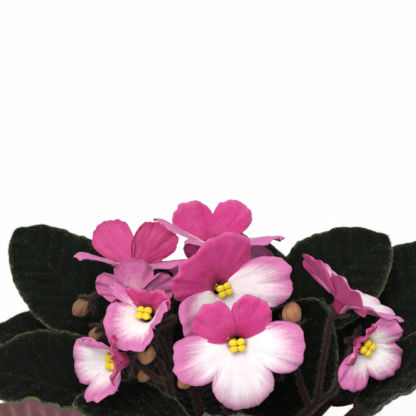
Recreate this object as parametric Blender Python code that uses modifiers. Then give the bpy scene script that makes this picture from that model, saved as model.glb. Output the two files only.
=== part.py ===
"""Potted African violet: a plain clay pot, its potting mix, the crown, leaves, flower stalks,
ten flowers and six buds. Metres, +Z up, front of the plant toward -Y."""

from math import cos, pi, radians, sin, sqrt

import bmesh
import bpy
from mathutils import Matrix, Vector

MM = 0.001
SEAT_GAP = 0.3  # clearance between pieces that touch, in millimetres like every size below

# Pot, turned about +Z
POT_HEIGHT = 88.0
POT_BASE_RADIUS = 35.0
POT_BODY_RADIUS = 45.5
POT_RIM_RADIUS = 51.5
POT_RIM_HEIGHT = 19.0
POT_WALL = 4.0
POT_FLOOR = 5.0
POT_SIDES = 48
POT_EDGE = 1.2  # the corners of the rim and the foot are taken off by this much
POT_CORNER = 2.0  # and the inside corner over the floor by this much
RIM_TAPER = 1.0  # the rim band narrows downward by this much
RIM_WALL_EASE = 0.5
DRAIN_RADIUS = 3.5
DRAIN_RING_RADIUS = 20.0
DRAIN_HOLES = 4
DRAIN_SIDES = 16

# Potting mix and crown
MIX_TOP = 78.0
MIX_DOME = 1.5
NECK_RADIUS = 5.5
NECK_BOTTOM = 60.0
CROWN_SIDES = 36
CROWN_EDGE = 1.3
CROWN_LOW = (82.5, 90.0, 9.5)  # lower tier of leaf scars: bottom, top, radius
CROWN_HIGH = (91.0, 99.0, 7.5)  # upper tier
LOW_TIER_Z = 86.2
HIGH_TIER_Z = 94.7
STALK_RING_RADIUS = 4.4

# Leaf sections
PETIOLE_RADIUS = 1.7
PETIOLE_STATIONS = 5
BLADE_STATIONS = (0.0, 0.035, 0.11, 0.23, 0.37, 0.52, 0.67, 0.81, 0.92, 1.0)
LEAF_SECTION_POINTS = 12
BLADE_THICKNESS = 1.1
TIP_HALF_WIDTH = 1.6
SCAR_GAP = 0.35  # between the crown and a leaf stalk's foot
KNEE_SHARE = 0.3  # where a leaf stalk bends, as shares of its reach
WRIST_SHARE = 0.35

# Leaves: tier and bearing of the leaf scar, where the blade begins, where it ends, its width,
# the way its upper side faces, how far the sides lift (cup) and how far the midrib bows out
LEAVES = {
    "leaf_01": ("high", 178, (-45, 3, 138), (-82, 26, 173), 36, (0.05, -0.78, 0.62), 4.5, 3.0),
    "leaf_02": ("low", 163, (-48, 8, 125), (-90, 12, 138), 35, (0.1, -0.45, 0.88), 4.0, 4.0),
    "leaf_03": ("low", 190, (-43, -12, 114), (-92, -24, 134), 42, (0.25, -0.6, 0.76), 5.0, 7.0),
    "leaf_04": ("low", 213, (-49, -42, 109), (-91, -60, 131), 30, (0.3, 0.6, 0.74), 6.0, 2.0),
    "leaf_05": ("low", 238, (-15, -23, 108), (-57, -34, 123), 33, (0.15, -0.35, 0.92), 3.0, 6.0),
    "leaf_06": ("high", 85, (7, 30, 131), (8, 49, 164), 38, (0.05, -0.9, 0.42), 4.0, 3.0),
    "leaf_07": ("high", 130, (-16, 16, 116), (-28, 38, 156), 38, (0.15, -0.85, 0.5), 4.0, 3.0),
    "leaf_08": ("high", 25, (20, 9, 142), (57, 24, 171), 37, (-0.12, -0.8, 0.6), 4.5, 3.0),
    "leaf_09": ("low", 0, (37, 8, 126), (84, 34, 164), 42, (-0.12, -0.86, 0.5), 5.0, 3.0),
    "leaf_10": ("low", 331, (44, -27, 120), (82, -38, 149), 34, (-0.55, -0.25, 0.8), 4.0, 3.0),
    "leaf_11": ("high", 312, (9, -7, 110), (30, 1, 152), 38, (-0.1, -0.93, 0.3), 3.0, 1.5),
    "leaf_12": ("low", 302, (20, -33, 102), (56, -62, 113), 35, (-0.2, 0.3, 0.93), 5.0, 3.0),
    "leaf_13": ("low", 128, (-29, 35, 110), (-55, 74, 126), 40, (0.2, -0.3, 0.93), 4.0, 4.0),
    "leaf_14": ("low", 77, (9, 40, 110), (15, 88, 120), 41, (0.0, -0.2, 0.98), 4.0, 5.0),
    "leaf_15": ("low", 38, (38, 30, 106), (74, 60, 124), 40, (-0.2, -0.3, 0.93), 4.0, 4.0),
    "leaf_16": ("low", 270, (1, -36, 104), (12, -72, 129), 38, (0.1, 0.5, 0.86), 4.0, 3.0),
    "leaf_17": ("low", 102, (-6, 30, 95), (-16, 80, 101), 36, (0.0, -0.15, 0.99), 3.0, 3.0),
}

# Flower: throat tube, organs and calyx
THROAT_RADIUS = 3.0
TUBE_FOOT_RADIUS = 2.4
TUBE_LENGTH = 4.0
PETAL_THICKNESS = 0.5
RECEPTACLE_RADIUS = 3.0
CALYX_THICKNESS = 0.7
SEPALS = 5
SEPAL_LENGTH = 4.5
SEPAL_NOTCH = 0.28  # how far out two sepals part, as a share of their length
SEPAL_RISE = 30
BUD_SEPAL_RISE = 44
BUD_SEPAL_SHARE = 0.5  # of the bud's length
STALK_SINK = 0.35  # how deep a stalk's end lies in the receptacle
STALK_STRAIGHT = 3.5  # straight end of a stalk under its receptacle
STALK_FOOT = 2.0  # straight start of a stalk over the crown
BUD_RECEPTACLE_RADIUS = 1.9

# Anthers: height over the throat, half the distance between them, radii; in young flowers
# they are still small and sunk in the throat
ANTHERS = (3.1, 1.35, (1.5, 2.0, 1.3))
YOUNG_ANTHERS = (-0.4, 0.85, (0.9, 1.1, 0.9))
YOUNG_FLOWERS = ("03", "04", "10")
STAMEN_FOOT = (0.85, 0.85, 0.6)
FILAMENT_RADIUS = 0.35
OVARY = (0.95, 0.95, 1.7)
OVARY_PLACE = (-1.05, 0.75)
STYLE_RADII = (0.32, 0.28, 0.34)

# Lobes in the flat corolla, turning from the flower's right: start bearing, length, and the
# depth of the notch at that bearing; the last notch is the first one again
LOBE_STARTS = (24.0, 92.0, 160.0, 228.0, 313.0, 384.0)
LOBE_LENGTHS = (18.0, 18.0, 24.0, 23.0, 24.0)
NOTCH_RADII = (7.0, 12.0, 7.0, 15.5, 15.5, 7.0)
LIP_BLEND = 12.0
LEAST_LOBE = 2.0
LOWER_CURL_LENGTH = 20.0  # the length over which a lobe turns by its curl
UPPER_CURL_LENGTH = 16.0
LOBE_STEPS = 6
LOBE_ROWS = 3

# Flowers: throat, bearing of the face (0 toward -Y, positive toward +X), its elevation, its
# roll, scale of the lower lip, scale, rise and curl of the upper lip, rise of the right, lower
# and left lobes, and the curl of those lobes; angles in degrees
FLOWERS = {
    "01": ((0, -38, 147), 0, 12, 8, 1.0, 1.0, 12, 10, 6, -4, 8, 10),
    "02": ((-5.6, -18, 161.4), 24, 14, 14, 1.1, 1.17, 20, 14, 28, 0, 22, 8),
    "03": ((-7.5, 6, 171.8), 2, 101, 0, 1.02, 1.14, 84, 8, 3, -2, 24, 6),
    "04": ((-37, -8, 166.6), -6, 102, 180, 0.92, 1.16, 84, 10, 10, 4, 6, 6),
    "05": ((-31, -31, 155), -30, 42, 2, 0.72, 0.72, 56, 40, 44, 10, 44, 14),
    "06": ((-41.2, -38.5, 140.4), -35, 6, -84, 0.8, 0.66, 78, 14, 50, 4, 66, 10),
    "07": ((37.4, -22, 157), 100, 58, 28, 0.98, 1.24, 25, 10, 17, 16, 16, 6),
    "08": ((44.2, -31, 144), 18, 4, 52, 0.68, 0.6, 72, 14, 40, 8, 10, 10),
    "09": ((-36, -20, 158.5), 176, 18, 180, 0.64, 0.6, 10, 10, 24, 8, 20, 8),
    "10": ((-6, 18, 161), 176, 14, -14, 0.86, 0.86, 26, 10, 12, 10, 12, 6),
}

# Starts of the lobes of the flowers whose lobes are not spread as usual: an upright narrow upper
# lip, a wide upper lobe beside a small one, and a lower lip of one broad lobe
OWN_STARTS = {
    "02": (26.0, 106.0, 172.0, 232.0, 315.0, 386.0),
    "03": (36.0, 92.0, 148.0, 228.0, 313.0, 396.0),
    "04": (34.0, 92.0, 150.0, 228.0, 313.0, 394.0),
    "05": (24.0, 88.0, 142.0, 168.0, 316.0, 384.0),
}

# Buds: base, direction, length and radius
BUDS = {
    "bud_01": ((-52.5, -8, 154.2), (-0.75, 0.0, -0.66), 8.0, 3.3),
    "bud_02": ((-48.5, -12, 145.0), (-0.65, 0.0, -0.76), 6.0, 2.4),
    "bud_03": ((-30.4, -31, 144.8), (-0.28, -0.1, -0.95), 7.8, 3.3),
    "bud_04": ((-31, -24, 133.3), (-0.6, -0.1, -0.8), 5.6, 2.4),
    "bud_05": ((19.5, -14, 146.5), (0.1, -0.1, 0.95), 9.0, 3.7),
    "bud_06": ((-15.5, -25, 131.5), (-0.6, -0.2, -0.5), 6.6, 2.8),
}

# Flower stalks: main stem, then branches as (where it leaves the main stem as a fraction of
# the stem's length, points on the way, what it carries)
PEDUNCLE_RADIUS = 1.5
PEDICEL_RADIUS = 0.85
STALKS = {
    "flower_stalk_left": {
        "bearing": 205,
        "stem": ((-12, -6, 106), (-22, -9, 114), (-24.5, -10, 132), (-24, -9, 152)),
        "branches": (
            (1.0, ((-29, -8, 157),), "04"),
            (0.9, ((-22, -17, 150),), "05"),
            (0.6, ((-28, -24, 129.5),), "06"),
            (0.9, ((-28, -16, 147), (-34, -23.5, 149.5)), "09"),
            (0.72, ((-33, -8, 148), (-44, -8, 156.5)), "bud_01"),
            (0.68, ((-34, -11, 141), (-43, -12, 147.5)), "bud_02"),
            (0.7, ((-27.5, -21, 144.5),), "bud_03"),
            (0.5, ((-25.5, -17, 129),), "bud_04"),
        ),
        "young_buds": ((1.0, ((-22.5, -5, 157.5),), (-24, -5, 161.5)),),
    },
    "flower_stalk_front": {
        "bearing": 262,
        "stem": ((0, -13, 107), (-1, -20, 116), (-2, -27, 127)),
        "branches": (
            (1.0, ((-1, -31, 136),), "01"),
            (0.75, ((-9, -15, 138), (-10, -11, 149)), "02"),
            (0.8, ((-8, -25, 131),), "bud_06"),
        ),
        "young_buds": (
            (0.8, ((7, -24, 128),), (15, -24, 131.5)),
            (0.85, ((-2, -30, 127),), (-3, -34, 122.5)),
        ),
    },
    "flower_stalk_right": {
        "bearing": 345,
        "stem": ((13, -4, 103), (21, -13, 110), (29, -18, 119)),
        "branches": (
            (1.0, ((31, -19, 134),), "07"),
            (1.0, ((36, -19, 125),), "08"),
            (0.9, ((22, -17, 130),), "bud_05"),
        ),
        "young_buds": (),
    },
    "flower_stalk_back": {
        "bearing": 55,
        "stem": ((1, 6, 112), (-2, 8, 130), (-4, 9, 148)),
        "branches": (
            (1.0, ((-7, 7, 158),), "03"),
            (0.95, ((-4, 9, 154),), "10"),
        ),
        "young_buds": (),
    },
}
YOUNG_BUD = (1.7, 1.7, 2.8)

# Colour, roughness and metallic value of each kind of piece
FINISHES = {
    "pot": ((0.42, 0.145, 0.07), 0.8, 0.0),
    "potting_mix": ((0.03, 0.018, 0.012), 0.95, 0.0),
    "crown": ((0.06, 0.045, 0.02), 0.7, 0.0),
    "leaf": ((0.012, 0.022, 0.011), 0.75, 0.0),
    "flower_stalk": ((0.035, 0.011, 0.012), 0.6, 0.0),
    "corolla": ((0.68, 0.13, 0.4), 0.55, 0.0),
    "stamens": ((0.72, 0.48, 0.03), 0.5, 0.0),
    "pistil": ((0.24, 0.17, 0.05), 0.5, 0.0),
    "bud": ((0.5, 0.25, 0.14), 0.55, 0.0),
}


def clear_scene():
    for obj in list(bpy.data.objects):
        bpy.data.objects.remove(obj)


def new_collection(name):
    collection = bpy.data.collections.new(name)
    bpy.context.scene.collection.children.link(collection)
    return collection


def finish(kind):
    """One Principled material for each kind of piece."""
    found = bpy.data.materials.get(kind)
    if found:
        return found
    colour, roughness, metallic = FINISHES[kind]
    material = bpy.data.materials.new(kind)
    material.use_nodes = True
    shader = material.node_tree.nodes["Principled BSDF"]
    shader.inputs["Base Color"].default_value = (*colour, 1.0)
    shader.inputs["Roughness"].default_value = roughness
    shader.inputs["Metallic"].default_value = metallic
    return material


def piece(name, mesh, kind, collection):
    obj = bpy.data.objects.new(name, mesh)
    mesh.materials.clear()
    mesh.materials.append(finish(kind))
    collection.objects.link(obj)
    return obj


def mesh_from(name, points, faces):
    """A mesh from points in millimetres."""
    mesh = bpy.data.meshes.new(name)
    mesh.from_pydata([tuple(Vector(p) * MM) for p in points], [], faces)
    mesh.update()
    return mesh


def evaluated_mesh(obj):
    """The object's mesh with its modifiers applied."""
    bpy.context.view_layer.update()
    graph = bpy.context.evaluated_depsgraph_get()
    return bpy.data.meshes.new_from_object(obj.evaluated_get(graph))


def smooth_path(points, steps):
    """Points along a Catmull-Rom curve through the given ones."""
    ends = [Vector(p) for p in points]
    full = [2 * ends[0] - ends[1], *ends, 2 * ends[-1] - ends[-2]]
    path = []
    for before, start, end, after in zip(full, full[1:], full[2:], full[3:]):
        for i in range(steps):
            t = i / steps
            path.append(
                0.5 * (2 * start + (end - before) * t
                       + (2 * before - 5 * start + 4 * end - after) * t ** 2
                       + (3 * start - before - 3 * end + after) * t ** 3)
            )
    return [*path, ends[-1]]


def along(path, fraction):
    """The point at a fraction of a path's length."""
    lengths = [(b - a).length for a, b in zip(path, path[1:])]
    left = fraction * sum(lengths)
    for start, end, length in zip(path, path[1:], lengths):
        if left <= length:
            return start.lerp(end, left / length)
        left -= length
    return path[-1]


def turned(name, profile, sides, kind, collection):
    """A profile of (radius, height) points turned about +Z."""
    mesh = bpy.data.meshes.new(name)
    bm = bmesh.new()
    verts = [bm.verts.new(Vector((r, 0, z)) * MM) for r, z in profile]
    for a, b in zip(verts, verts[1:]):
        bm.edges.new((a, b))
    bm.to_mesh(mesh)
    bm.free()
    obj = piece(name, mesh, kind, collection)
    screw = obj.modifiers.new("Turn", "SCREW")
    screw.axis = "Z"
    screw.steps = sides
    screw.render_steps = sides
    screw.use_merge_vertices = True
    screw.merge_threshold = 0.00001
    screw.use_smooth_shade = False
    return obj


# Pot, potting mix and crown


def pot_inner_radius(z):
    """Inside of the wall: straight taper up to the rim band, then the band's own taper."""
    shoulder = POT_HEIGHT - POT_RIM_HEIGHT
    if z >= shoulder:
        t = (z - shoulder) / POT_RIM_HEIGHT
        rim_taper = POT_RIM_RADIUS - POT_BODY_RADIUS - RIM_WALL_EASE
        return POT_BODY_RADIUS - POT_WALL + t * rim_taper
    t = z / shoulder
    return POT_BASE_RADIUS - POT_WALL + t * (POT_BODY_RADIUS - POT_BASE_RADIUS)


def build_pot(parts, cutters):
    shoulder = POT_HEIGHT - POT_RIM_HEIGHT
    profile = (
        (0.0, POT_FLOOR),
        (pot_inner_radius(POT_FLOOR) - POT_CORNER, POT_FLOOR),
        (pot_inner_radius(POT_FLOOR + POT_CORNER), POT_FLOOR + POT_CORNER),
        (pot_inner_radius(shoulder), shoulder),
        (pot_inner_radius(POT_HEIGHT - POT_EDGE), POT_HEIGHT - POT_EDGE),
        (pot_inner_radius(POT_HEIGHT) + POT_EDGE, POT_HEIGHT),
        (POT_RIM_RADIUS - POT_EDGE, POT_HEIGHT),
        (POT_RIM_RADIUS, POT_HEIGHT - POT_EDGE),
        (POT_RIM_RADIUS - RIM_TAPER, shoulder + 0.7 * POT_EDGE),
        (POT_RIM_RADIUS - RIM_TAPER - 0.7 * POT_EDGE, shoulder),
        (POT_BODY_RADIUS, shoulder),
        (POT_BASE_RADIUS + 0.15 * POT_EDGE, POT_EDGE),
        (POT_BASE_RADIUS - 0.85 * POT_EDGE, 0.0),
        (0.0, 0.0),
    )
    pot = turned("pot", profile, POT_SIDES, "pot", parts)
    for i in range(DRAIN_HOLES):
        angle = 2 * pi * (i + 0.5) / DRAIN_HOLES
        bm = bmesh.new()
        bmesh.ops.create_cone(
            bm, cap_ends=True, segments=DRAIN_SIDES, radius1=DRAIN_RADIUS * MM,
            radius2=DRAIN_RADIUS * MM, depth=3 * POT_FLOOR * MM,
        )
        mesh = bpy.data.meshes.new("drain_cutter")
        bm.to_mesh(mesh)
        bm.free()
        cutter = bpy.data.objects.new("drain_cutter", mesh)
        cutter.location = Vector((cos(angle), sin(angle), 0)) * DRAIN_RING_RADIUS * MM
        cutter.hide_render = True
        cutter.display_type = "WIRE"
        cutters.objects.link(cutter)
        cut = pot.modifiers.new("Drain hole", "BOOLEAN")
        cut.operation = "DIFFERENCE"
        cut.object = cutter


def build_potting_mix(parts):
    """Fills the pot's inside, with a low dome on top and a hole for the crown's neck."""
    rim = MIX_TOP - MIX_DOME
    shoulder = POT_HEIGHT - POT_RIM_HEIGHT
    corner = POT_FLOOR + POT_CORNER + SEAT_GAP
    hole = NECK_RADIUS + SEAT_GAP
    profile = (
        (0.0, NECK_BOTTOM - SEAT_GAP),
        (hole, NECK_BOTTOM - SEAT_GAP),
        (hole, MIX_TOP),
        (0.45 * pot_inner_radius(rim), MIX_TOP - 0.2 * MIX_DOME),
        (0.8 * pot_inner_radius(rim), MIX_TOP - 0.7 * MIX_DOME),
        (pot_inner_radius(rim) - SEAT_GAP, rim),
        (pot_inner_radius(shoulder) - SEAT_GAP, shoulder),
        (pot_inner_radius(corner) - SEAT_GAP, corner),
        (pot_inner_radius(POT_FLOOR) - POT_CORNER - SEAT_GAP, POT_FLOOR + SEAT_GAP),
        (0.0, POT_FLOOR + SEAT_GAP),
    )
    turned("potting_mix", profile, POT_SIDES, "potting_mix", parts)


def build_crown(parts):
    """A short woody stem: a neck in the potting mix and two tiers of leaf scars."""
    low_bottom, low_top, low_radius = CROWN_LOW
    high_bottom, high_top, high_radius = CROWN_HIGH
    profile = (
        (0.0, high_top),
        (high_radius - CROWN_EDGE, high_top),
        (high_radius, high_top - CROWN_EDGE),
        (high_radius, high_bottom),
        (low_radius, low_top),
        (low_radius, low_bottom),
        (NECK_RADIUS, MIX_TOP + 2 * SEAT_GAP),
        (NECK_RADIUS, NECK_BOTTOM),
        (0.0, NECK_BOTTOM),
    )
    turned("crown", profile, CROWN_SIDES, "crown", parts)


# Leaves


def bezier(p0, p1, p2, p3, t):
    return ((1 - t) ** 3 * p0 + 3 * (1 - t) ** 2 * t * p1
            + 3 * (1 - t) * t ** 2 * p2 + t ** 3 * p3)


def blade_half_width(t, width):
    """Ovate blade: widens fast from its stalk, widest before the middle, round at the tip."""
    return 0.5 * width * sin(pi * min(max(t, 0.0), 1.0) ** 0.82) ** 0.62


def leaf_scar(tier, bearing):
    """Foot of a leaf stalk on the side of the crown, and the way it points."""
    radius, height = {
        "low": (CROWN_LOW[2], LOW_TIER_Z),
        "high": (CROWN_HIGH[2], HIGH_TIER_Z),
    }[tier]
    outward = Vector((cos(radians(bearing)), sin(radians(bearing)), 0.0))
    return outward * (radius + SCAR_GAP) + Vector((0, 0, height)), outward


def leaf_sections(tier, bearing, base, tip, width, face, cup, bow):
    """Stations along a leaf: centre, sideways axis, normal, half width, half depth, lift."""
    base, tip = Vector(base), Vector(tip)
    foot, outward = leaf_scar(tier, bearing)
    chord = (tip - base).normalized()
    normal = (Vector(face) - Vector(face).dot(chord) * chord).normalized()
    bend = 0.5 * (base + tip) + normal * bow
    start_way = (bend - base).normalized()
    reach = (base - foot).length
    knee = foot + outward * (KNEE_SHARE * reach)
    wrist = base - start_way * (WRIST_SHARE * reach)
    stations = []
    for i in range(PETIOLE_STATIONS):
        t = i / PETIOLE_STATIONS
        centre = bezier(foot, knee, wrist, base, t)
        ahead = bezier(foot, knee, wrist, base, t + 0.02)
        way = outward if i == 0 else (ahead - centre).normalized()
        up = normal.lerp(Vector((0, 0, 1)), 1 - t)
        side = way.cross(up).normalized()
        stations.append((centre, side, side.cross(way), PETIOLE_RADIUS, PETIOLE_RADIUS, 0.0))
    for t in BLADE_STATIONS:
        centre = (1 - t) ** 2 * base + 2 * (1 - t) * t * bend + t ** 2 * tip
        way = ((1 - t) * (bend - base) + t * (tip - bend)).normalized()
        side = way.cross(normal).normalized()
        half = max(blade_half_width(t, width), PETIOLE_RADIUS if t < 0.5 else TIP_HALF_WIDTH)
        depth = PETIOLE_RADIUS + (0.5 * BLADE_THICKNESS - PETIOLE_RADIUS) * min(1.0, t * 4)
        lift = cup * (2 * half / width) ** 2 * min(1.0, t * 6)
        stations.append((centre, side, side.cross(way), half, depth, lift))
    return stations


def build_leaf(name, parts):
    points = []
    faces = []
    count = LEAF_SECTION_POINTS
    for centre, side, normal, half, depth, lift in leaf_sections(*LEAVES[name]):
        for k in range(count):
            angle = 2 * pi * k / count
            across = cos(angle)
            rise = depth * sin(angle) + lift * across ** 2
            points.append(centre + side * (half * across) + normal * rise)
    rings = len(points) // count
    for ring in range(rings - 1):
        for k in range(count):
            a = ring * count + k
            b = ring * count + (k + 1) % count
            faces.append((a, a + count, b + count, b))
    faces.append(tuple(range(count)))
    faces.append(tuple(range((rings - 1) * count, rings * count))[::-1])
    piece(name, mesh_from(name, points, faces), "leaf", parts)


# Flowers


def flower_frame(bearing, elevation, roll):
    """Axes of a flower: its right, its up and the way it faces."""
    b, e, r = radians(bearing), radians(elevation), radians(roll)
    facing = Vector((sin(b) * cos(e), -cos(b) * cos(e), sin(e)))
    level = Vector((cos(b), sin(b), 0.0))
    upright = facing.cross(level)
    right = level * cos(r) + upright * sin(r)
    up = upright * cos(r) - level * sin(r)
    return right, up, facing


def placement(origin, axes):
    rotation = Matrix(axes).transposed().to_4x4()
    return Matrix.Translation(Vector(origin) * MM) @ rotation


def arc(distance, length, rise, curl):
    """Along an arc that leaves at an angle and turns by curl over its length: out and up."""
    start = radians(rise)
    turn = radians(curl) * distance / length
    radius = length / radians(curl)
    return (radius * (sin(start + turn) - sin(start)),
            radius * (cos(start) - cos(start + turn)))


def corolla_outline(bearing, starts):
    """Radius of the flat corolla at a bearing between the first and last lobe start."""
    for i, length in enumerate(LOBE_LENGTHS):
        start, end = starts[i], starts[i + 1]
        if bearing <= end:
            break
    t = (bearing - start) / (end - start)
    notch = NOTCH_RADII[i] + t * (NOTCH_RADII[i + 1] - NOTCH_RADII[i])
    return notch + (length - notch) * sqrt(max(0.0, 1 - abs(2 * t - 1) ** 2.6))


def blend(value, low, high):
    t = min(max((value - low) / (high - low), 0.0), 1.0)
    return t * t * (3 - 2 * t)


def lower_lip_rise(bearing, right, lower, left):
    """Rise of the lower lip between its right, lower and left lobes."""
    b = bearing if bearing > 90 else bearing + 360
    if b < 270:
        return left + (lower - left) * blend(b, 200, 255)
    return lower + (right - lower) * blend(b, 285, 340)


def corolla_point(bearing, share, shape, starts):
    """A point of the corolla's sheet, from the throat (share 0) to the rim (share 1)."""
    scale, up_scale, up_rise, up_curl, right, lower, left, curl = shape
    outline = corolla_outline(bearing, starts)
    rim = max(outline * scale, THROAT_RADIUS + LEAST_LOBE)
    reach = rim - THROAT_RADIUS
    c, s = cos(radians(bearing)), sin(radians(bearing))
    out, up = arc(reach * share, LOWER_CURL_LENGTH, lower_lip_rise(bearing, right, lower, left), curl)
    low = Vector(((THROAT_RADIUS + out) * c, (THROAT_RADIUS + out) * s, up))
    length = (outline * up_scale - THROAT_RADIUS) * share
    forward, lift = arc(length * max(s, 0.0), UPPER_CURL_LENGTH, up_rise, up_curl)
    across = (THROAT_RADIUS + length) * c
    high = Vector((across, THROAT_RADIUS * s + forward, lift))
    first, last = starts[0], starts[2]
    turn = bearing if bearing < 360 else bearing - 360
    weight = (blend(turn, first - LIP_BLEND, first + LIP_BLEND)
              * (1 - blend(turn, last - LIP_BLEND, last + LIP_BLEND)))
    return low.lerp(high, weight)


def build_corolla(number, parts):
    origin, bearing, elevation, roll, *shape = FLOWERS[number]
    starts = OWN_STARTS.get(number, LOBE_STARTS)
    bearings = []
    for start, end in zip(starts, starts[1:]):
        for i in range(LOBE_STEPS):
            t = 0.5 - 0.5 * cos(pi * i / LOBE_STEPS)
            bearings.append(start + t * (end - start))
    count = len(bearings)
    rows = []
    foot = [(TUBE_FOOT_RADIUS * cos(radians(b)), TUBE_FOOT_RADIUS * sin(radians(b)), -TUBE_LENGTH)
            for b in bearings]
    rows.append(foot)
    for row in range(LOBE_ROWS + 1):
        rows.append([corolla_point(b, row / LOBE_ROWS, shape, starts) for b in bearings])
    points = [p for row in rows for p in row]
    faces = []
    for row in range(len(rows) - 1):
        for k in range(count):
            a = row * count + k
            b = row * count + (k + 1) % count
            faces.append((a, a + count, b + count, b))
    name = f"corolla_{number}"
    obj = piece(name, mesh_from(name, points, faces), "corolla", parts)
    obj.matrix_world = placement(origin, flower_frame(bearing, elevation, roll))
    shell = obj.modifiers.new("Petal thickness", "SOLIDIFY")
    shell.thickness = PETAL_THICKNESS * MM
    shell.offset = 0.0
    shell.use_rim = True


def ball(centre, radii, subdivisions=1):
    """A scaled sphere in a throwaway object."""
    bm = bmesh.new()
    bmesh.ops.create_icosphere(bm, subdivisions=subdivisions, radius=1.0)
    for v in bm.verts:
        v.co = Vector([c + r * x for c, r, x in zip(centre, radii, v.co)]) * MM
    mesh = bpy.data.meshes.new("ball")
    bm.to_mesh(mesh)
    bm.free()
    return bpy.data.objects.new("ball", mesh)


def tube(points, radii):
    """A capped tube through points, made a mesh."""
    curve = bpy.data.curves.new("tube", "CURVE")
    curve.dimensions = "3D"
    curve.bevel_depth = MM
    curve.bevel_resolution = 1
    curve.use_fill_caps = True
    spline = curve.splines.new("POLY")
    spline.points.add(len(points) - 1)
    for target, point, radius in zip(spline.points, points, radii):
        target.co = (*(Vector(point) * MM), 1.0)
        target.radius = radius
    obj = bpy.data.objects.new("tube", curve)
    bpy.context.scene.collection.objects.link(obj)
    mesh = evaluated_mesh(obj)
    bpy.data.objects.remove(obj)
    bm = bmesh.new()
    bm.from_mesh(mesh)
    bmesh.ops.remove_doubles(bm, verts=bm.verts, dist=0.000001)
    bmesh.ops.recalc_face_normals(bm, faces=bm.faces)
    bm.to_mesh(mesh)
    bm.free()
    return bpy.data.objects.new("tube", mesh)


def fused(name, solids, kind, parts):
    """One piece from solids that overlap."""
    group = new_collection(f"{name}_solids")
    for solid in solids:
        group.objects.link(solid)
    first = solids[0]
    group.objects.unlink(first)
    bpy.context.scene.collection.objects.link(first)
    join = first.modifiers.new("Fuse", "BOOLEAN")
    join.operation = "UNION"
    join.solver = "EXACT"
    join.operand_type = "COLLECTION"
    join.collection = group
    mesh = evaluated_mesh(first)
    mesh.name = name
    for solid in solids:
        bpy.data.objects.remove(solid)
    bpy.data.collections.remove(group)
    return piece(name, mesh, kind, parts)


def build_stamens(number, parts):
    """Two plump anthers that meet over the throat, on two short filaments and a common foot."""
    origin, bearing, elevation, roll, *_ = FLOWERS[number]
    height, apart, radii = YOUNG_ANTHERS if number in YOUNG_FLOWERS else ANTHERS
    foot = Vector((1.0, -0.55, 0.6 - TUBE_LENGTH))
    solids = [ball(foot, STAMEN_FOOT)]
    for side in (-1, 1):
        anther = Vector((apart * side, -0.9, height))
        bend = Vector((0.6 + 0.6 * side, -0.7, 0.6 * height - 2.0))
        path = (foot + Vector((0.25 * side, 0, 0)), bend, anther + Vector((0, 0.1, -0.4)))
        solids.append(tube(path, [FILAMENT_RADIUS] * len(path)))
        solids.append(ball(anther, radii))
    obj = fused(f"stamens_{number}", solids, "stamens", parts)
    obj.matrix_world = placement(origin, flower_frame(bearing, elevation, roll))


def build_pistil(number, parts):
    """A small ovary in the throat, with its style leaning out past the anthers."""
    origin, bearing, elevation, roll, *_ = FLOWERS[number]
    ovary = ball((*OVARY_PLACE, OVARY[2] - TUBE_LENGTH), OVARY)
    reach = 0.0 if number in YOUNG_FLOWERS else 1.0
    way = ((*OVARY_PLACE, -1.5), (-1.2 - 0.5 * reach, 0.9 + 0.5 * reach, -0.4 + 2.0 * reach),
           (-1.4 - 1.4 * reach, 1.1 + 1.1 * reach, 0.6 + 3.8 * reach))
    style = tube(way, STYLE_RADII)
    obj = fused(f"pistil_{number}", [ovary, style], "pistil", parts)
    obj.matrix_world = placement(origin, flower_frame(bearing, elevation, roll))


def bud_axes(direction):
    facing = Vector(direction).normalized()
    side = facing.orthogonal().normalized()
    return side, facing.cross(side), facing


def build_bud(name, parts):
    """An egg that stands a seat gap above its receptacle."""
    base, direction, length, radius = BUDS[name]
    egg = ball((0, 0, 0.5 * length), (radius, radius, 0.5 * length), 2)
    obj = piece(name, egg.data, "bud", parts)
    bpy.data.objects.remove(egg)
    obj.matrix_world = placement(base, bud_axes(direction))


# Flower stalks


def calyx(seat, axes, radius, rise, length):
    """Five sepals round a flat receptacle whose top is the seat, as one closed star."""
    right, up, facing = axes
    spokes = 2 * SEPALS
    rings = ((0.4, 0.0), (0.0, 0.0), (0.5, 0.5), (1.0, 1.0))
    top = []
    for out_share, up_share in rings:
        for k in range(spokes):
            angle = 2 * pi * k / spokes
            reach = length * (1.0 if k % 2 else SEPAL_NOTCH)
            out = radius + reach * out_share * cos(radians(rise))
            height = reach * up_share * sin(radians(rise))
            if (out_share, up_share) == rings[0]:
                out, height = 0.5 * radius, 0.0
            top.append(seat + (right * cos(angle) + up * sin(angle)) * out + facing * height)
    under = [p - facing * CALYX_THICKNESS for p in top]
    total = len(top)
    points = [*top, *under, seat, seat - facing * CALYX_THICKNESS]
    faces = []
    for ring in range(len(rings) - 1):
        for k in range(spokes):
            a = ring * spokes + k
            b = ring * spokes + (k + 1) % spokes
            faces.append((a, a + spokes, b + spokes, b))
            faces.append((b + total, b + spokes + total, a + spokes + total, a + total))
    for k in range(spokes):
        following = (k + 1) % spokes
        rim = (len(rings) - 1) * spokes
        faces.append((2 * total, k, following))
        faces.append((2 * total + 1, following + total, k + total))
        faces.append((rim + k, rim + k + total, rim + following + total, rim + following))
    return bpy.data.objects.new("calyx", mesh_from("calyx", points, faces))


def seat_of(carried):
    """Where a stalk ends under a flower or bud: point, axes, receptacle radius, sepal rise."""
    if carried in BUDS:
        base, direction, *_ = BUDS[carried]
        axes = bud_axes(direction)
        return Vector(base) - axes[2] * SEAT_GAP, axes, BUD_RECEPTACLE_RADIUS, BUD_SEPAL_RISE
    origin, bearing, elevation, roll, *_ = FLOWERS[carried]
    axes = flower_frame(bearing, elevation, roll)
    seat = Vector(origin) - axes[2] * (TUBE_LENGTH + SEAT_GAP)
    return seat, axes, RECEPTACLE_RADIUS, SEPAL_RISE


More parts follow.
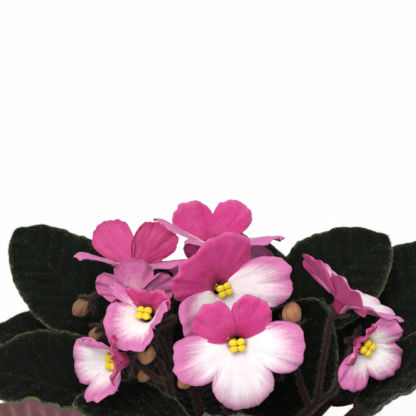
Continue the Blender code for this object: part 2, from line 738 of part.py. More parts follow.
def tapered(count, first, last):
    return [first + (last - first) * i / (count - 1) for i in range(count)]


def build_stalk(name, parts):
    stalk = STALKS[name]
    angle = radians(stalk["bearing"])
    foot = Vector((cos(angle), sin(angle), 0)) * STALK_RING_RADIUS
    foot.z = CROWN_HIGH[1] + SEAT_GAP
    start = foot + Vector((0, 0, STALK_FOOT))
    stem = [foot, *smooth_path((start, *stalk["stem"]), 3)]
    solids = [tube(stem, tapered(len(stem), PEDUNCLE_RADIUS, 0.8 * PEDUNCLE_RADIUS))]
    for fraction, way, carried in stalk["branches"]:
        seat, axes, radius, rise = seat_of(carried)
        neck = seat - axes[2] * STALK_SINK
        points = (along(stem, fraction), *way, neck - axes[2] * STALK_STRAIGHT, neck)
        path = smooth_path(points, 2)
        solids.append(tube(path, tapered(len(path), PEDICEL_RADIUS, 1.1 * PEDICEL_RADIUS)))
        length = SEPAL_LENGTH
        if carried in BUDS:
            length = BUD_SEPAL_SHARE * BUDS[carried][2]
        solids.append(calyx(seat, axes, radius, rise, length))
    for fraction, way, end in stalk["young_buds"]:
        path = smooth_path((along(stem, fraction), *way, end), 3)
        solids.append(tube(path, tapered(len(path), PEDICEL_RADIUS, PEDICEL_RADIUS)))
        solids.append(ball(end, YOUNG_BUD))
    fused(name, solids, "flower_stalk", parts)


def main():
    clear_scene()
    parts = new_collection("potted_african_violet")
    cutters = new_collection("cutters")
    build_pot(parts, cutters)
    build_potting_mix(parts)
    build_crown(parts)
    for name in LEAVES:
        build_leaf(name, parts)
    for name in STALKS:
        build_stalk(name, parts)
    for number in FLOWERS:
        build_corolla(number, parts)
        build_stamens(number, parts)
        build_pistil(number, parts)
    for name in BUDS:
        build_bud(name, parts)


main()
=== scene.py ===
from math import cos, pi, radians, sin

import bmesh
import bpy
import numpy as np
from bpy.props import FloatProperty, FloatVectorProperty, IntProperty, PointerProperty
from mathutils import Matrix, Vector


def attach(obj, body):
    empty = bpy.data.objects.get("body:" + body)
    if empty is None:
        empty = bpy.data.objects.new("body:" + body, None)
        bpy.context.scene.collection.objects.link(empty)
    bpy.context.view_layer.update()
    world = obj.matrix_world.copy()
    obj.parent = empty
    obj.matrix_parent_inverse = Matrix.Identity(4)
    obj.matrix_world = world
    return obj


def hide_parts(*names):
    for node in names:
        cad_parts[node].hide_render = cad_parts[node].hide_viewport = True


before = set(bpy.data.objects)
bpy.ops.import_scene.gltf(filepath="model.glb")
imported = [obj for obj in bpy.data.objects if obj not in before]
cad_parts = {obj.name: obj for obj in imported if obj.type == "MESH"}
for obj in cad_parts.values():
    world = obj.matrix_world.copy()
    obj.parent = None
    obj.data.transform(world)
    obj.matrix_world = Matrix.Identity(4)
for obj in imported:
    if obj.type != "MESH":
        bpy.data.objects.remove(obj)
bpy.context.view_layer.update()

bl_info = {
    "name": "Potted African Violet",
    "version": (1, 0, 0),
    "blender": (4, 5, 0),
    "location": "3D View > Sidebar > Violet",
    "description": "Leaves, flowers, buds, stalks, soil and clay pot of an African violet",
    "category": "Object",
}

BODY = "root"
MM = 0.001  # every size below is in millimetres unless its property says metres
UV_MARGIN = 0.02

# Pot, turned about +Z
POT_HEIGHT = 88.0
POT_BASE_RADIUS = 35.0
POT_BODY_RADIUS = 45.5
POT_RIM_RADIUS = 51.5
POT_RIM_HEIGHT = 19.0
POT_WALL = 4.0
POT_FLOOR = 5.0
DRAIN_RADIUS = 3.5
DRAIN_RING_RADIUS = 20.0
DRAIN_HOLES = 4
RIM_WALL_EASE = 0.5  # the rim band's wall is this much thicker than the rest at its top
RIM_TAPER = 1.6  # the rim band narrows downward by this much
POT_EDGE = 1.3  # radius of the pot's eased corners
AXIS_GAP = 0.05  # a turned profile ends this far from its axis

# Potting mix and crown
MIX_TOP = 78.0
MIX_DOME = 1.5
MIX_RELIEF = 0.45
MIX_SETTLED = 0.5  # the crumbly top lies this much under the level of the mix
PALE_CRUMBS = 0.07  # share of the crumbs that are perlite
CRUMB_GRID = (5, 7)
NECK_RADIUS = 5.5
NECK_BOTTOM = 60.0
CROWN_LOW = (82.5, 90.0, 9.5)
CROWN_HIGH = (91.0, 99.0, 7.5)
LEAF_TIERS = {"low": (9.5, 86.2), "high": (7.5, 94.7)}
STALK_RING_RADIUS = 4.4
SEAT_GAP = 0.3
BARK_SHRINK = (0.03, 0.02, 0.08)  # usual, uneven and greatest share that the bark lies inward

# Leaves: tier and bearing of the leaf scar, where the blade begins, where it ends, its width,
# the way its upper side faces, how far the sides lift and how far the midrib bows out
PETIOLE_RADIUS = 1.7
LEAVES = {
    "leaf_01": ("high", 178, (-45, 3, 138), (-82, 26, 173), 36, (0.05, -0.78, 0.62), 4.5, 3.0),
    "leaf_02": ("low", 163, (-48, 8, 125), (-90, 12, 138), 35, (0.1, -0.45, 0.88), 4.0, 4.0),
    "leaf_03": ("low", 190, (-43, -12, 114), (-92, -24, 134), 42, (0.25, -0.6, 0.76), 5.0, 7.0),
    "leaf_04": ("low", 213, (-49, -42, 109), (-91, -60, 131), 30, (0.3, 0.6, 0.74), 6.0, 2.0),
    "leaf_05": ("low", 238, (-15, -23, 108), (-57, -34, 123), 33, (0.15, -0.35, 0.92), 3.0, 6.0),
    "leaf_06": ("high", 85, (7, 30, 131), (8, 49, 164), 38, (0.05, -0.9, 0.42), 4.0, 3.0),
    "leaf_07": ("high", 130, (-16, 16, 116), (-28, 38, 156), 38, (0.15, -0.85, 0.5), 4.0, 3.0),
    "leaf_08": ("high", 25, (20, 9, 142), (57, 24, 171), 37, (-0.12, -0.8, 0.6), 4.5, 3.0),
    "leaf_09": ("low", 0, (37, 8, 126), (84, 34, 164), 42, (-0.12, -0.86, 0.5), 5.0, 3.0),
    "leaf_10": ("low", 331, (44, -27, 120), (82, -38, 149), 34, (-0.55, -0.25, 0.8), 4.0, 3.0),
    "leaf_11": ("high", 312, (9, -7, 110), (30, 1, 152), 38, (-0.1, -0.93, 0.3), 3.0, 1.5),
    "leaf_12": ("low", 302, (20, -33, 102), (56, -62, 113), 35, (-0.2, 0.3, 0.93), 5.0, 3.0),
    "leaf_13": ("low", 128, (-29, 35, 110), (-55, 74, 126), 40, (0.2, -0.3, 0.93), 4.0, 4.0),
    "leaf_14": ("low", 77, (9, 40, 110), (15, 88, 120), 41, (0.0, -0.2, 0.98), 4.0, 5.0),
    "leaf_15": ("low", 38, (38, 30, 106), (74, 60, 124), 40, (-0.2, -0.3, 0.93), 4.0, 4.0),
    "leaf_16": ("low", 270, (1, -36, 104), (12, -72, 129), 38, (0.1, 0.5, 0.86), 4.0, 3.0),
    "leaf_17": ("low", 102, (-6, 30, 95), (-16, 80, 101), 36, (0.0, -0.15, 0.99), 3.0, 3.0),
}
KNEE_SHARE = 0.3  # how far a leaf stalk leaves the crown straight, as a share of its reach
WRIST_SHARE = 0.35  # and how far it enters the blade straight
BLADE_HALF_THICKNESS = 0.5
BLADE_TIP = 0.25  # half of the width that is left at the tip
SCALLOP_DEPTH = 0.02  # of the leaf's half width
SCALLOP_LENGTH = 3.4
VEIN_SPACING = 6.3
VEIN_SLANT = 0.72  # how far a side vein runs forward for each millimetre outward
VEIN_SWEEP = 0.012  # and how much it bends forward on its way
SIDE_VEIN_WIDTH = 0.75
MIDRIB_WIDTH = 1.0
SIDE_VEIN_VALLEY = 1.7  # how far from a side vein the pillows have risen
MIDRIB_VALLEY = 1.9
KEEL_HEIGHT = 1.1  # of the midrib on the under side
RIB_HEIGHT = 0.45  # of the side veins there
MARGIN_WAVES = ((0.9, 0.34), (0.5, 0.83))  # height, and radians for each millimetre along
UNEVENNESS = 0.16
EAR_LENGTH = 4.2  # how far the blade reaches back beside its stalk
EAR_SHARE = 0.22  # and over how much of its length the ears fade out
RIM_WIDTH = 0.8
LEAF_HAIR_RADIUS = 0.042
LEAF_HAIR_WEIGHTS = (0.4, 1.2, 15.0)  # how thick the hairs stand: blade, stalk, rim

# Flowers
THROAT_RADIUS = 3.0
TUBE_FOOT_RADIUS = 2.4
TUBE_LENGTH = 4.0
RECEPTACLE_RADIUS = 3.0
SEPAL_LENGTH = 4.5
BUD_RECEPTACLE_RADIUS = 1.9
ANTHERS = (3.1, 1.35, (1.5, 2.3, 1.3))  # height, half of the distance apart, and radii
YOUNG_ANTHERS = (-0.4, 0.85, (0.9, 1.1, 0.9))
YOUNG_FLOWERS = ("03", "04", "10")  # whose stamens are still short
LOBE_STARTS = (24.0, 92.0, 160.0, 228.0, 313.0, 384.0)
LOBE_LENGTHS = (18.0, 18.0, 24.0, 23.0, 24.0)
LOBE_BLUSH = ((0, 0), (0, 0), (0.46, 0.8), (0.84, 0.84), (0.84, 0.54))  # where blush begins
LOBE_SPREADS = ((9.0, 4.0), (4.0, 13.0), (2.0, 6.0), (6.0, 6.0), (6.0, 2.0))  # past the notches
LOBE_HEELS = (6.0, 6.0, 6.0, 5.0, 5.0, 6.0)  # radius at which a lobe's outline leaves its heel
LOBE_LAYERS = (0.92, 1.2, 0.06, 0.34, 0.18)  # how far each lobe lies above the lowest
LOBE_SQUARENESS = 2.6
UPPER_LOBES = 2  # the first two are the upper lip
UPPER_CURL_LENGTH = 16.0  # length over which the upper lip turns by its curl
LOWER_CURL_LENGTH = 20.0
LEFT_BLEND = (200, 255)  # bearings between which the left rise gives way to the lower one
RIGHT_BLEND = (285, 340)  # and the lower one to the right one
RIM_WAVE = 0.02  # unevenness of a lobe's outline, as a share of its radius
RIM_TEETH = 0.007
RUFFLES = ((1.0, 17), (0.35, 33), (1.1, 8))  # relative height, and waves round a whole flower
PILLOW_HEIGHT = 0.63
ROLLED_RIM = 0.9
ROLL_START = 0.86  # share of the way outward at which the rim begins to roll back
FURROW_DEPTH = 0.05
CREASE_HEIGHT = 0.08
LOBE_STREAKS = 3.7  # shift of the streaks from lobe to lobe, so that no two are alike
FLOWER_STREAKS = 21.3  # and from flower to flower
FILAMENT_RADIUS = 0.35
OVARY_RADII = (1.05, 1.05, 2.1)
STYLE_RADII = (0.36, 0.24)
STIGMA_RADII = (0.42, 0.42, 0.3)

# Throat, bearing of the face, elevation, roll, scale of the lower lip, scale, rise and curl of
# the upper lip, rise of the right, lower and left lobes, and their curl
FLOWERS = {
    "01": ((0, -38, 147), 0, 12, 8, 1.0, 1.0, 12, 10, 6, -4, 8, 10),
    "02": ((-5.6, -18, 161.4), 24, 14, 14, 1.1, 1.17, 20, 14, 28, 0, 22, 8),
    "03": ((-7.5, 6, 171.8), 2, 101, 0, 1.02, 1.14, 84, 8, 3, -2, 24, 6),
    "04": ((-37, -8, 166.6), -6, 102, 180, 0.92, 1.16, 84, 10, 10, 4, 6, 6),
    "05": ((-31, -31, 155), -30, 42, 2, 0.72, 0.72, 56, 40, 44, 10, 44, 14),
    "06": ((-41.2, -38.5, 140.4), -35, 6, -84, 0.8, 0.66, 78, 14, 50, 4, 66, 10),
    "07": ((37.4, -22, 157), 100, 58, 28, 0.98, 1.24, 25, 10, 17, 16, 16, 6),
    "08": ((44.2, -31, 144), 18, 4, 52, 0.68, 0.6, 72, 14, 40, 8, 10, 10),
    "09": ((-36, -20, 158.5), 176, 18, 180, 0.64, 0.6, 10, 10, 24, 8, 20, 8),
    "10": ((-6, 18, 161), 176, 14, -14, 0.86, 0.86, 26, 10, 12, 10, 12, 6),
}

# Starts of the lobes of the flowers whose lobes are not spread as usual: an upright narrow upper
# lip, a wide upper lobe beside a small one, and a lower lip of one broad lobe
OWN_STARTS = {
    "02": (26.0, 106.0, 172.0, 232.0, 315.0, 386.0),
    "03": (36.0, 92.0, 148.0, 228.0, 313.0, 396.0),
    "04": (34.0, 92.0, 150.0, 228.0, 313.0, 394.0),
    "05": (24.0, 88.0, 142.0, 168.0, 316.0, 384.0),
}
OWN_OVERLAPS = {"02": 24.0}  # how far the right upper lobe reaches over the left one
BLUSH_SHIFTS = {"03": 0.34, "04": 0.36, "05": 0.26, "06": 0.1, "08": 0.16, "09": 0.34}
SHADE_TONES = {  # painted shade: how much deeper a flower's magenta is, in its right and left upper lobes
    "01": (0.0, 0.05), "02": (0.1, 0.25), "03": (0.0, 0.1), "04": (0.1, 0.7), "05": (0.4, 0.3),
    "06": (0.45, 0.45), "07": (0.1, 0.0), "08": (0.2, 0.2), "09": (0.2, 0.2), "10": (0.1, 0.1),
}

# Buds: base, direction, length and radius
BUDS = {
    "bud_01": ((-52.5, -8, 154.2), (-0.75, 0.0, -0.66), 8.0, 3.3),
    "bud_02": ((-48.5, -12, 145.0), (-0.65, 0.0, -0.76), 6.0, 2.4),
    "bud_03": ((-30.4, -31, 144.8), (-0.28, -0.1, -0.95), 7.8, 3.3),
    "bud_04": ((-31, -24, 133.3), (-0.6, -0.1, -0.8), 5.6, 2.4),
    "bud_05": ((19.5, -14, 146.5), (0.1, -0.1, 0.95), 9.0, 3.7),
    "bud_06": ((-15.5, -25, 131.5), (-0.6, -0.2, -0.5), 6.6, 2.8),
}
BUD_GREENS = {"bud_01": 0.85, "bud_02": 0.75, "bud_04": 0.3}  # how green the small buds still are
BUD_GRID = (40, 80)
BUD_LOBES = 5
BUD_TWIST = 0.7
BUD_FOLD_DEPTH = 0.17
BUD_PINCH = 0.22

# Flower stalks: bearing of the foot, points of the main stem, branches and young buds
PEDUNCLE_RADIUS = 1.5
PEDICEL_RADIUS = 0.85
YOUNG_BUD = (1.7, 1.7, 2.8)
SEPALS = 5
SEPAL_HALF_THICKNESS = 0.24
RECEPTACLE = (  # profile, as radius and height; only the flared part grows with its flower
    (0.9, -1.9), (1.25, -1.5), (1.9, -1.0), (2.7, -0.55), (2.95, -0.15), (2.6, 0.0), (0.1, 0.0),
)
RECEPTACLE_NECK = 1.5  # what is wider than this is the flared part
STALK_HAIR_RADIUS = 0.03
HAIR_DEPTH = 0.08  # how far every hair is sunk into the skin
STALKS = {
    "flower_stalk_left": {
        "bearing": 205,
        "stem": ((-12, -6, 106), (-22, -9, 114), (-24.5, -10, 132), (-24, -9, 152)),
        "branches": (
            (1.0, ((-29, -8, 157),), "04"),
            (0.9, ((-22, -17, 150),), "05"),
            (0.6, ((-28, -24, 129.5),), "06"),
            (0.9, ((-28, -16, 147), (-34, -23.5, 149.5)), "09"),
            (0.72, ((-33, -8, 148), (-44, -8, 156.5)), "bud_01"),
            (0.68, ((-34, -11, 141), (-43, -12, 147.5)), "bud_02"),
            (0.7, ((-27.5, -21, 144.5),), "bud_03"),
            (0.5, ((-25.5, -17, 129),), "bud_04"),
        ),
        "young_buds": ((1.0, ((-22.5, -5, 157.5),), (-24, -5, 161.5)),),
    },
    "flower_stalk_front": {
        "bearing": 262,
        "stem": ((0, -13, 107), (-1, -20, 116), (-2, -27, 127)),
        "branches": (
            (1.0, ((-1, -31, 136),), "01"),
            (0.75, ((-9, -15, 138), (-10, -11, 149)), "02"),
            (0.8, ((-8, -25, 131),), "bud_06"),
        ),
        "young_buds": (
            (0.8, ((7, -24, 128),), (15, -24, 131.5)),
            (0.85, ((-2, -30, 127),), (-3, -34, 122.5)),
        ),
    },
    "flower_stalk_right": {
        "bearing": 345,
        "stem": ((13, -4, 103), (21, -13, 110), (29, -18, 119)),
        "branches": (
            (1.0, ((31, -19, 134),), "07"),
            (1.0, ((36, -19, 125),), "08"),
            (0.9, ((22, -17, 130),), "bud_05"),
        ),
        "young_buds": (),
    },
    "flower_stalk_back": {
        "bearing": 55,
        "stem": ((1, 6, 112), (-2, 8, 130), (-4, 9, 148)),
        "branches": (
            (1.0, ((-7, 7, 158),), "03"),
            (0.95, ((-4, 9, 154),), "10"),
        ),
        "young_buds": (),
    },
}


def screen_colour(red, green, blue):
    """Linear colour from 8-bit display values."""
    return tuple(
        c / 12.92 if c <= 0.04045 else ((c + 0.055) / 1.055) ** 2.4
        for c in (red / 255, green / 255, blue / 255)
    )


def colour_property(name, description, rgb):
    """A colour that a user may change, given in 8-bit display values."""
    return FloatVectorProperty(
        name=name, description=description, subtype="COLOR", size=3, min=0.0, max=1.0,
        default=screen_colour(*rgb),
    )


def length_property(name, description, millimetres):
    """A length that a user may change, given in millimetres and kept in metres."""
    return FloatProperty(
        name=name, description=description, subtype="DISTANCE", unit="LENGTH", min=0.0,
        default=millimetres * MM,
    )


class VIOLET_PG_pot(bpy.types.PropertyGroup):
    """Clay pot, potting mix and crown"""
    clay: colour_property("Clay", "Colour of the fired clay", (176, 98, 62))
    clay_dark: colour_property("Dark clay", "Damp and smoked patches of the clay", (136, 68, 42))
    bloom: colour_property("Bloom", "Pale mineral bloom on the wall", (205, 170, 146))
    ridge: length_property("Turning ridges", "Height of the turning ridges on the wall", 0.06)
    mix: colour_property("Potting mix", "Colour of the moist mix", (46, 32, 24))
    bark: colour_property("Bark", "Colour of the bark crumbs", (84, 56, 38))
    perlite: colour_property("Perlite", "Colour of the pale crumbs", (206, 200, 190))
    crumbs: IntProperty(name="Crumbs", description="Crumbs on the mix", default=1500, min=0)
    crumb_size: length_property("Crumb size", "Usual radius of a crumb", 0.95)
    crown_bark: colour_property("Crown", "Woody skin of the crown", (92, 78, 48))


class VIOLET_PG_leaf(bpy.types.PropertyGroup):
    """Leaves and their stalks"""
    upper: colour_property("Upper side", "Dark green of the upper side", (7, 11, 7))
    # painted sheen: lighter green patches stand for the velvet sheen of the upper side
    upper_sheen: colour_property("Upper side, painted sheen", "Lighter green patches", (14, 19, 13))
    vein: colour_property("Veins", "Colour along the veins of the upper side", (21, 26, 18))
    under: colour_property("Under side", "Purple of the under side", (112, 70, 78))
    under_vein: colour_property("Under side veins", "Ribs of the under side", (150, 112, 104))
    margin: colour_property("Margin", "Green line round the under side", (104, 122, 56))
    petiole: colour_property("Leaf stalk", "Brown-red of the leaf stalks", (62, 40, 32))
    hair: colour_property("Hairs", "Colour of the fine hairs", (178, 182, 172))
    quilting: length_property("Quilting", "Height of the pillows between the veins", 0.45)
    groove: length_property("Midrib groove", "Depth of the midrib groove", 0.55)
    hair_length: length_property("Hair length", "Usual length of the hairs", 0.8)
    hairs: IntProperty(name="Hairs", description="Hairs on each leaf", default=5000, min=0)


class VIOLET_PG_flower(bpy.types.PropertyGroup):
    """Corollas, stamens and pistils"""
    upper: colour_property("Upper lobes", "Magenta of the upper lobes", (204, 50, 132))
    upper_deep: colour_property("Deep magenta", "Magenta close to the throat", (172, 30, 88))
    upper_rim: colour_property("Upper rim", "Pale rim of the upper lobes", (220, 120, 170))
    lower: colour_property("Lower lobes", "White of the lower lobes", (246, 238, 240))
    blush: colour_property("Blush", "Lilac-pink of the lower lobes' ends", (208, 116, 170))
    back: colour_property("Back of the upper lobes", "Magenta-pink", (206, 72, 138))
    back_pale: colour_property("Back of the lower lobes", "Pale lilac", (228, 176, 200))
    throat: colour_property("Throat", "Maroon spot in the throat", (150, 30, 74))
    thickness: length_property("Petal thickness", "Thickness of the petals", 0.4)
    ruffle: length_property("Ruffle", "Height of the waves along the rim", 0.45)
    anther: colour_property("Anthers", "Yellow of the anthers", (252, 232, 54))
    anther_deep: colour_property("Anther folds", "Yellow in the folds", (216, 170, 28))
    filament: colour_property("Filaments", "Pale yellow of the filaments", (226, 208, 150))
    ovary: colour_property("Ovary", "Olive of the ovary", (150, 118, 56))
    style: colour_property("Style", "Purple of the style", (150, 70, 112))


class VIOLET_PG_stalk(bpy.types.PropertyGroup):
    """Flower stalks, sepals and buds"""
    skin: colour_property("Stalk", "Dark maroon of the stalks", (32, 15, 16))
    skin_light: colour_property("Stalk, lit side", "Lighter patches", (52, 29, 26))
    sepal: colour_property("Sepals", "Green-maroon of the sepals", (44, 28, 24))
    hair: colour_property("Hairs", "Colour of the stalk hairs", (176, 150, 140))
    hair_length: length_property("Hair length", "Usual length of the hairs", 1.1)
    hairs: IntProperty(name="Hairs", description="Hairs on each millimetre", default=26, min=0)
    bud: colour_property("Bud", "Peach of the closed buds", (196, 132, 98))
    bud_deep: colour_property("Bud folds", "Deeper peach in the folds", (146, 66, 54))
    bud_green: colour_property("Green bud", "Olive of the buds that are still small", (112, 92, 54))
    bud_tip: colour_property("Bud tip", "Yellowish tip of the buds", (200, 156, 112))


class VIOLET_PG_stage(bpy.types.PropertyGroup):
    """Floor, light and camera"""
    floor: colour_property("Floor", "Pale floor", (250, 250, 250))
    floor_light: colour_property("Floor patches", "Paler patches", (253, 253, 253))
    sky: FloatProperty(name="Sky", description="Strength of the soft light all round",
                       default=0.66, min=0.0)
    lamp: FloatProperty(name="Lamp", description="Strength of the lamp", default=1.85, min=0.0)
    softness: FloatProperty(name="Softness", description="Angle that the lamp fills",
                            subtype="ANGLE", default=radians(35))
    lamp_way: FloatVectorProperty(name="Lamp direction", description="Way its light travels",
                                  subtype="DIRECTION", size=3, default=(0.25, 0.93, -0.78))
    distance: FloatProperty(name="Camera distance", description="From the aim point",
                            subtype="DISTANCE", unit="LENGTH", default=0.75)
    elevation: FloatProperty(name="Camera elevation", description="Above the horizon",
                             subtype="ANGLE", default=radians(12))
    aim: FloatVectorProperty(name="Aim point", description="What the camera looks at",
                             subtype="TRANSLATION", unit="LENGTH", size=3,
                             default=(-0.010, 0.0, 0.1866))
    lens: FloatProperty(name="Lens", description="Focal length", subtype="DISTANCE_CAMERA",
                        default=180.0)


# Meshes


class Skin:
    """Grids of points gathered into one closed mesh, each with its own patch of the UV map."""

    def __init__(self, masks):
        self.points = []
        self.masks = {name: [] for name in masks}
        self.faces = []
        self.corners = []
        self.total = 0
        self.patches = 0

    def add(self, grid, closed_rows=False, **masks):
        """One grid, shaped (rows, columns, 3), whose columns go round the piece."""
        rows, columns = grid.shape[:2]
        row, column = np.meshgrid(
            np.arange(rows if closed_rows else rows - 1), np.arange(columns), indexing="ij"
        )
        row, column = row.ravel(), column.ravel()
        after_row, after_column = (row + 1) % rows, (column + 1) % columns
        quads = self.total + np.stack([
            row * columns + column, row * columns + after_column,
            after_row * columns + after_column, after_row * columns + column,
        ], axis=1)
        self.faces.extend(quads.tolist())
        across, along = 1.0 / columns, 1.0 / rows
        corner = np.stack([
            np.stack([column * across, row * along], axis=1),
            np.stack([(column + 1) * across, row * along], axis=1),
            np.stack([(column + 1) * across, (row + 1) * along], axis=1),
            np.stack([column * across, (row + 1) * along], axis=1),
        ], axis=1)
        self.corners.extend((self.patches, c) for c in corner)
        if not closed_rows:
            turn = np.arange(columns) * 2 * pi / columns
            disc = np.stack([0.98 + 0.01 * np.cos(turn), 0.98 + 0.01 * np.sin(turn)], axis=1)
            self.faces.append((self.total + np.arange(columns))[::-1].tolist())
            self.faces.append((self.total + (rows - 1) * columns + np.arange(columns)).tolist())
            self.corners.extend([(self.patches, disc), (self.patches, disc)])
        self.points.append(grid.reshape(-1, 3))
        for name, values in self.masks.items():
            given = np.broadcast_to(masks.get(name, 0.0), (rows, columns))
            values.append(given.ravel())
        self.total += rows * columns
        self.patches += 1

    def mesh(self, name):
        """The closed mesh, in metres, with its masks and its UV map."""
        mesh = bpy.data.meshes.new(name)
        mesh.from_pydata((np.concatenate(self.points) * MM).tolist(), [], self.faces)
        side = int(np.ceil(np.sqrt(self.patches)))
        layer = mesh.uv_layers.new(name="OFBake")
        placed = [
            (corner * (1 - 2 * UV_MARGIN) + UV_MARGIN + np.array([patch % side, patch // side]))
            / side
            for patch, corner in self.corners
        ]
        layer.data.foreach_set("uv", np.concatenate(placed).astype(np.float32).ravel())
        for mask, values in self.masks.items():
            attribute = mesh.attributes.new(mask, "FLOAT", "POINT")
            attribute.data.foreach_set("value", np.concatenate(values).astype(np.float32))
        bm = bmesh.new()
        bm.from_mesh(mesh)
        bmesh.ops.remove_doubles(bm, verts=bm.verts, dist=1e-7)
        bmesh.ops.recalc_face_normals(bm, faces=bm.faces)
        bm.to_mesh(mesh)
        bm.free()
        mesh.polygons.foreach_set("use_smooth", [True] * len(mesh.polygons))
        mesh.update()
        return mesh


def plant_collection():
    """The collection that holds every piece of the plant."""
    found = bpy.data.collections.get("african_violet")
    if found:
        return found
    made = bpy.data.collections.new("african_violet")
    bpy.context.scene.collection.children.link(made)
    return made


def place(name, mesh, material, node=None):
    """Puts a finished piece in the plant, on its body, in place of its CAD node."""
    obj = bpy.data.objects.new(name, mesh)
    plant_collection().objects.link(obj)
    mesh.materials.append(material)
    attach(obj, BODY)
    if node:
        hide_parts(node)
    return obj


def unit(vectors):
    """Vectors of the same directions and of length one."""
    return vectors / np.maximum(np.linalg.norm(vectors, axis=-1, keepdims=True), 1e-9)


def smooth_path(points, steps):
    """Points along a Catmull-Rom curve through the given ones."""
    ends = [Vector(p) for p in points]
    full = [2 * ends[0] - ends[1], *ends, 2 * ends[-1] - ends[-2]]
    path = []
    for before, start, end, after in zip(full, full[1:], full[2:], full[3:]):
        for i in range(steps):
            t = i / steps
            path.append(
                0.5 * (2 * start + (end - before) * t
                       + (2 * before - 5 * start + 4 * end - after) * t ** 2
                       + (3 * start - before - 3 * end + after) * t ** 3)
            )
    return [*path, ends[-1]]


def along(path, fraction):
    """The point at a fraction of a path's length."""
    lengths = [(b - a).length for a, b in zip(path, path[1:])]
    left = fraction * sum(lengths)
    for start, end, length in zip(path, path[1:], lengths):
        if left <= length:
            return start.lerp(end, left / length)
        left -= length
    return path[-1]


def tube_grid(path, radii, sides):
    """Rings round a path, with rounded ends."""
    centres = np.array([tuple(p) for p in path])
    radii = np.asarray(radii, dtype=float)
    ways = unit(np.gradient(centres, axis=0))
    side = unit(np.cross(ways[0], (0.31, 0.94, 0.12)))
    sides_along = []
    for way in ways:
        side = unit(side - np.dot(side, way) * way)
        sides_along.append(side)
    first = np.array(sides_along)
    second = np.cross(ways, first)
    turn = np.arange(sides) * 2 * pi / sides
    out = (first[:, None, :] * np.cos(turn)[None, :, None]
           + second[:, None, :] * np.sin(turn)[None, :, None])
    grid = centres[:, None, :] + out * radii[:, None, None]
    start = centres[0] + 0.05 * out[0] * radii[0] - 0.35 * ways[0] * radii[0]
    end = centres[-1] + 0.05 * out[-1] * radii[-1] + 0.35 * ways[-1] * radii[-1]
    return np.concatenate([start[None], grid, end[None]])


def turned_grid(profile, sides):
    """A closed profile of (radius, height) points turned about +Z: columns follow the turn."""
    turn = np.arange(sides) * 2 * pi / sides
    radius, height = np.array(profile, dtype=float).T
    return np.stack([
        radius[:, None] * np.cos(turn), radius[:, None] * np.sin(turn),
        np.broadcast_to(height[:, None], (len(radius), sides)),
    ], axis=2)


def hair_mesh(name, roots, ways, lengths, radius):
    """Straight tapered hairs: a three-sided closed spike each, sunk a little into the skin."""
    count = len(roots)
    ways = unit(ways)
    side = unit(np.cross(ways, (0.35, 0.2, 0.91)))
    other = np.cross(ways, side)
    points = np.empty((count, 4, 3))
    for k in range(3):
        turn = 2 * pi * k / 3
        offset = side * cos(turn) + other * sin(turn)
        points[:, k] = roots + offset * radius - ways * HAIR_DEPTH
    points[:, 3] = roots + ways * lengths[:, None]
    first = np.arange(count)[:, None] * 4
    spike = ((0, 2, 1), (0, 1, 3), (1, 2, 3), (2, 0, 3))
    faces = np.concatenate([first + np.array(face) for face in spike], axis=1)
    mesh = bpy.data.meshes.new(name)
    mesh.from_pydata((points.reshape(-1, 3) * MM).tolist(), [], faces.reshape(-1, 3).tolist())
    tip = np.tile([0.0, 0.0, 0.0, 1.0], count)
    attribute = mesh.attributes.new("tip", "FLOAT", "POINT")
    attribute.data.foreach_set("value", tip.astype(np.float32))
    layer = mesh.uv_layers.new(name="OFBake")
    patches = ((0.1, 0.05), (0.3, 0.05), (0.2, 0.1), (0.1, 0.1), (0.5, 0.1), (0.3, 0.95),
               (0.5, 0.1), (0.9, 0.1), (0.7, 0.95), (0.6, 0.1), (0.95, 0.1), (0.8, 0.95))
    patches = np.tile(np.array(patches, dtype=np.float32), (count, 1))
    layer.data.foreach_set("uv", patches.ravel())
    return mesh


# Shader node groups


def new_group(name, inputs, outputs):
    """A node group with number inputs of given defaults and number outputs."""
    group = bpy.data.node_groups.new(name, "ShaderNodeTree")
    number = "NodeSocketFloat"
    for title, value in inputs.items():
        made = group.interface.new_socket(title, in_out="INPUT", socket_type=number)
        made.default_value = value
    for title in outputs:
        group.interface.new_socket(title, in_out="OUTPUT", socket_type=number)
    return group, group.nodes.new("NodeGroupInput"), group.nodes.new("NodeGroupOutput")


def add_node(tree, kind, **settings):
    """A new node with its settings made."""
    node = tree.nodes.new(kind)
    for name, value in settings.items():
        setattr(node, name, value)
    return node


def mottle_group():
    """Two noises of different size: a soft patchy mask and a fine grain mask."""
    found = bpy.data.node_groups.get("Mottle")
    if found:
        return found
    group, given, result = new_group(
        "Mottle", {"Patch Scale": 60.0, "Grain Scale": 900.0, "Contrast": 2.0},
        ("Patches", "Grain"),
    )
    place_on = add_node(group, "ShaderNodeTexCoord")
    for output, scale, detail in (("Patches", "Patch Scale", 4.0), ("Grain", "Grain Scale", 2.0)):
        noise = add_node(group, "ShaderNodeTexNoise")
        noise.inputs["Detail"].default_value = detail
        group.links.new(place_on.outputs["Object"], noise.inputs["Vector"])
        group.links.new(given.outputs[scale], noise.inputs["Scale"])
        centred = add_node(group, "ShaderNodeMath", operation="SUBTRACT")
        centred.inputs[1].default_value = 0.5
        group.links.new(noise.outputs["Fac"], centred.inputs[0])
        spread = add_node(group, "ShaderNodeMath", operation="MULTIPLY_ADD", use_clamp=True)
        group.links.new(centred.outputs[0], spread.inputs[0])
        group.links.new(given.outputs["Contrast"], spread.inputs[1])
        spread.inputs[2].default_value = 0.5
        group.links.new(spread.outputs[0], result.inputs[output])
    return group


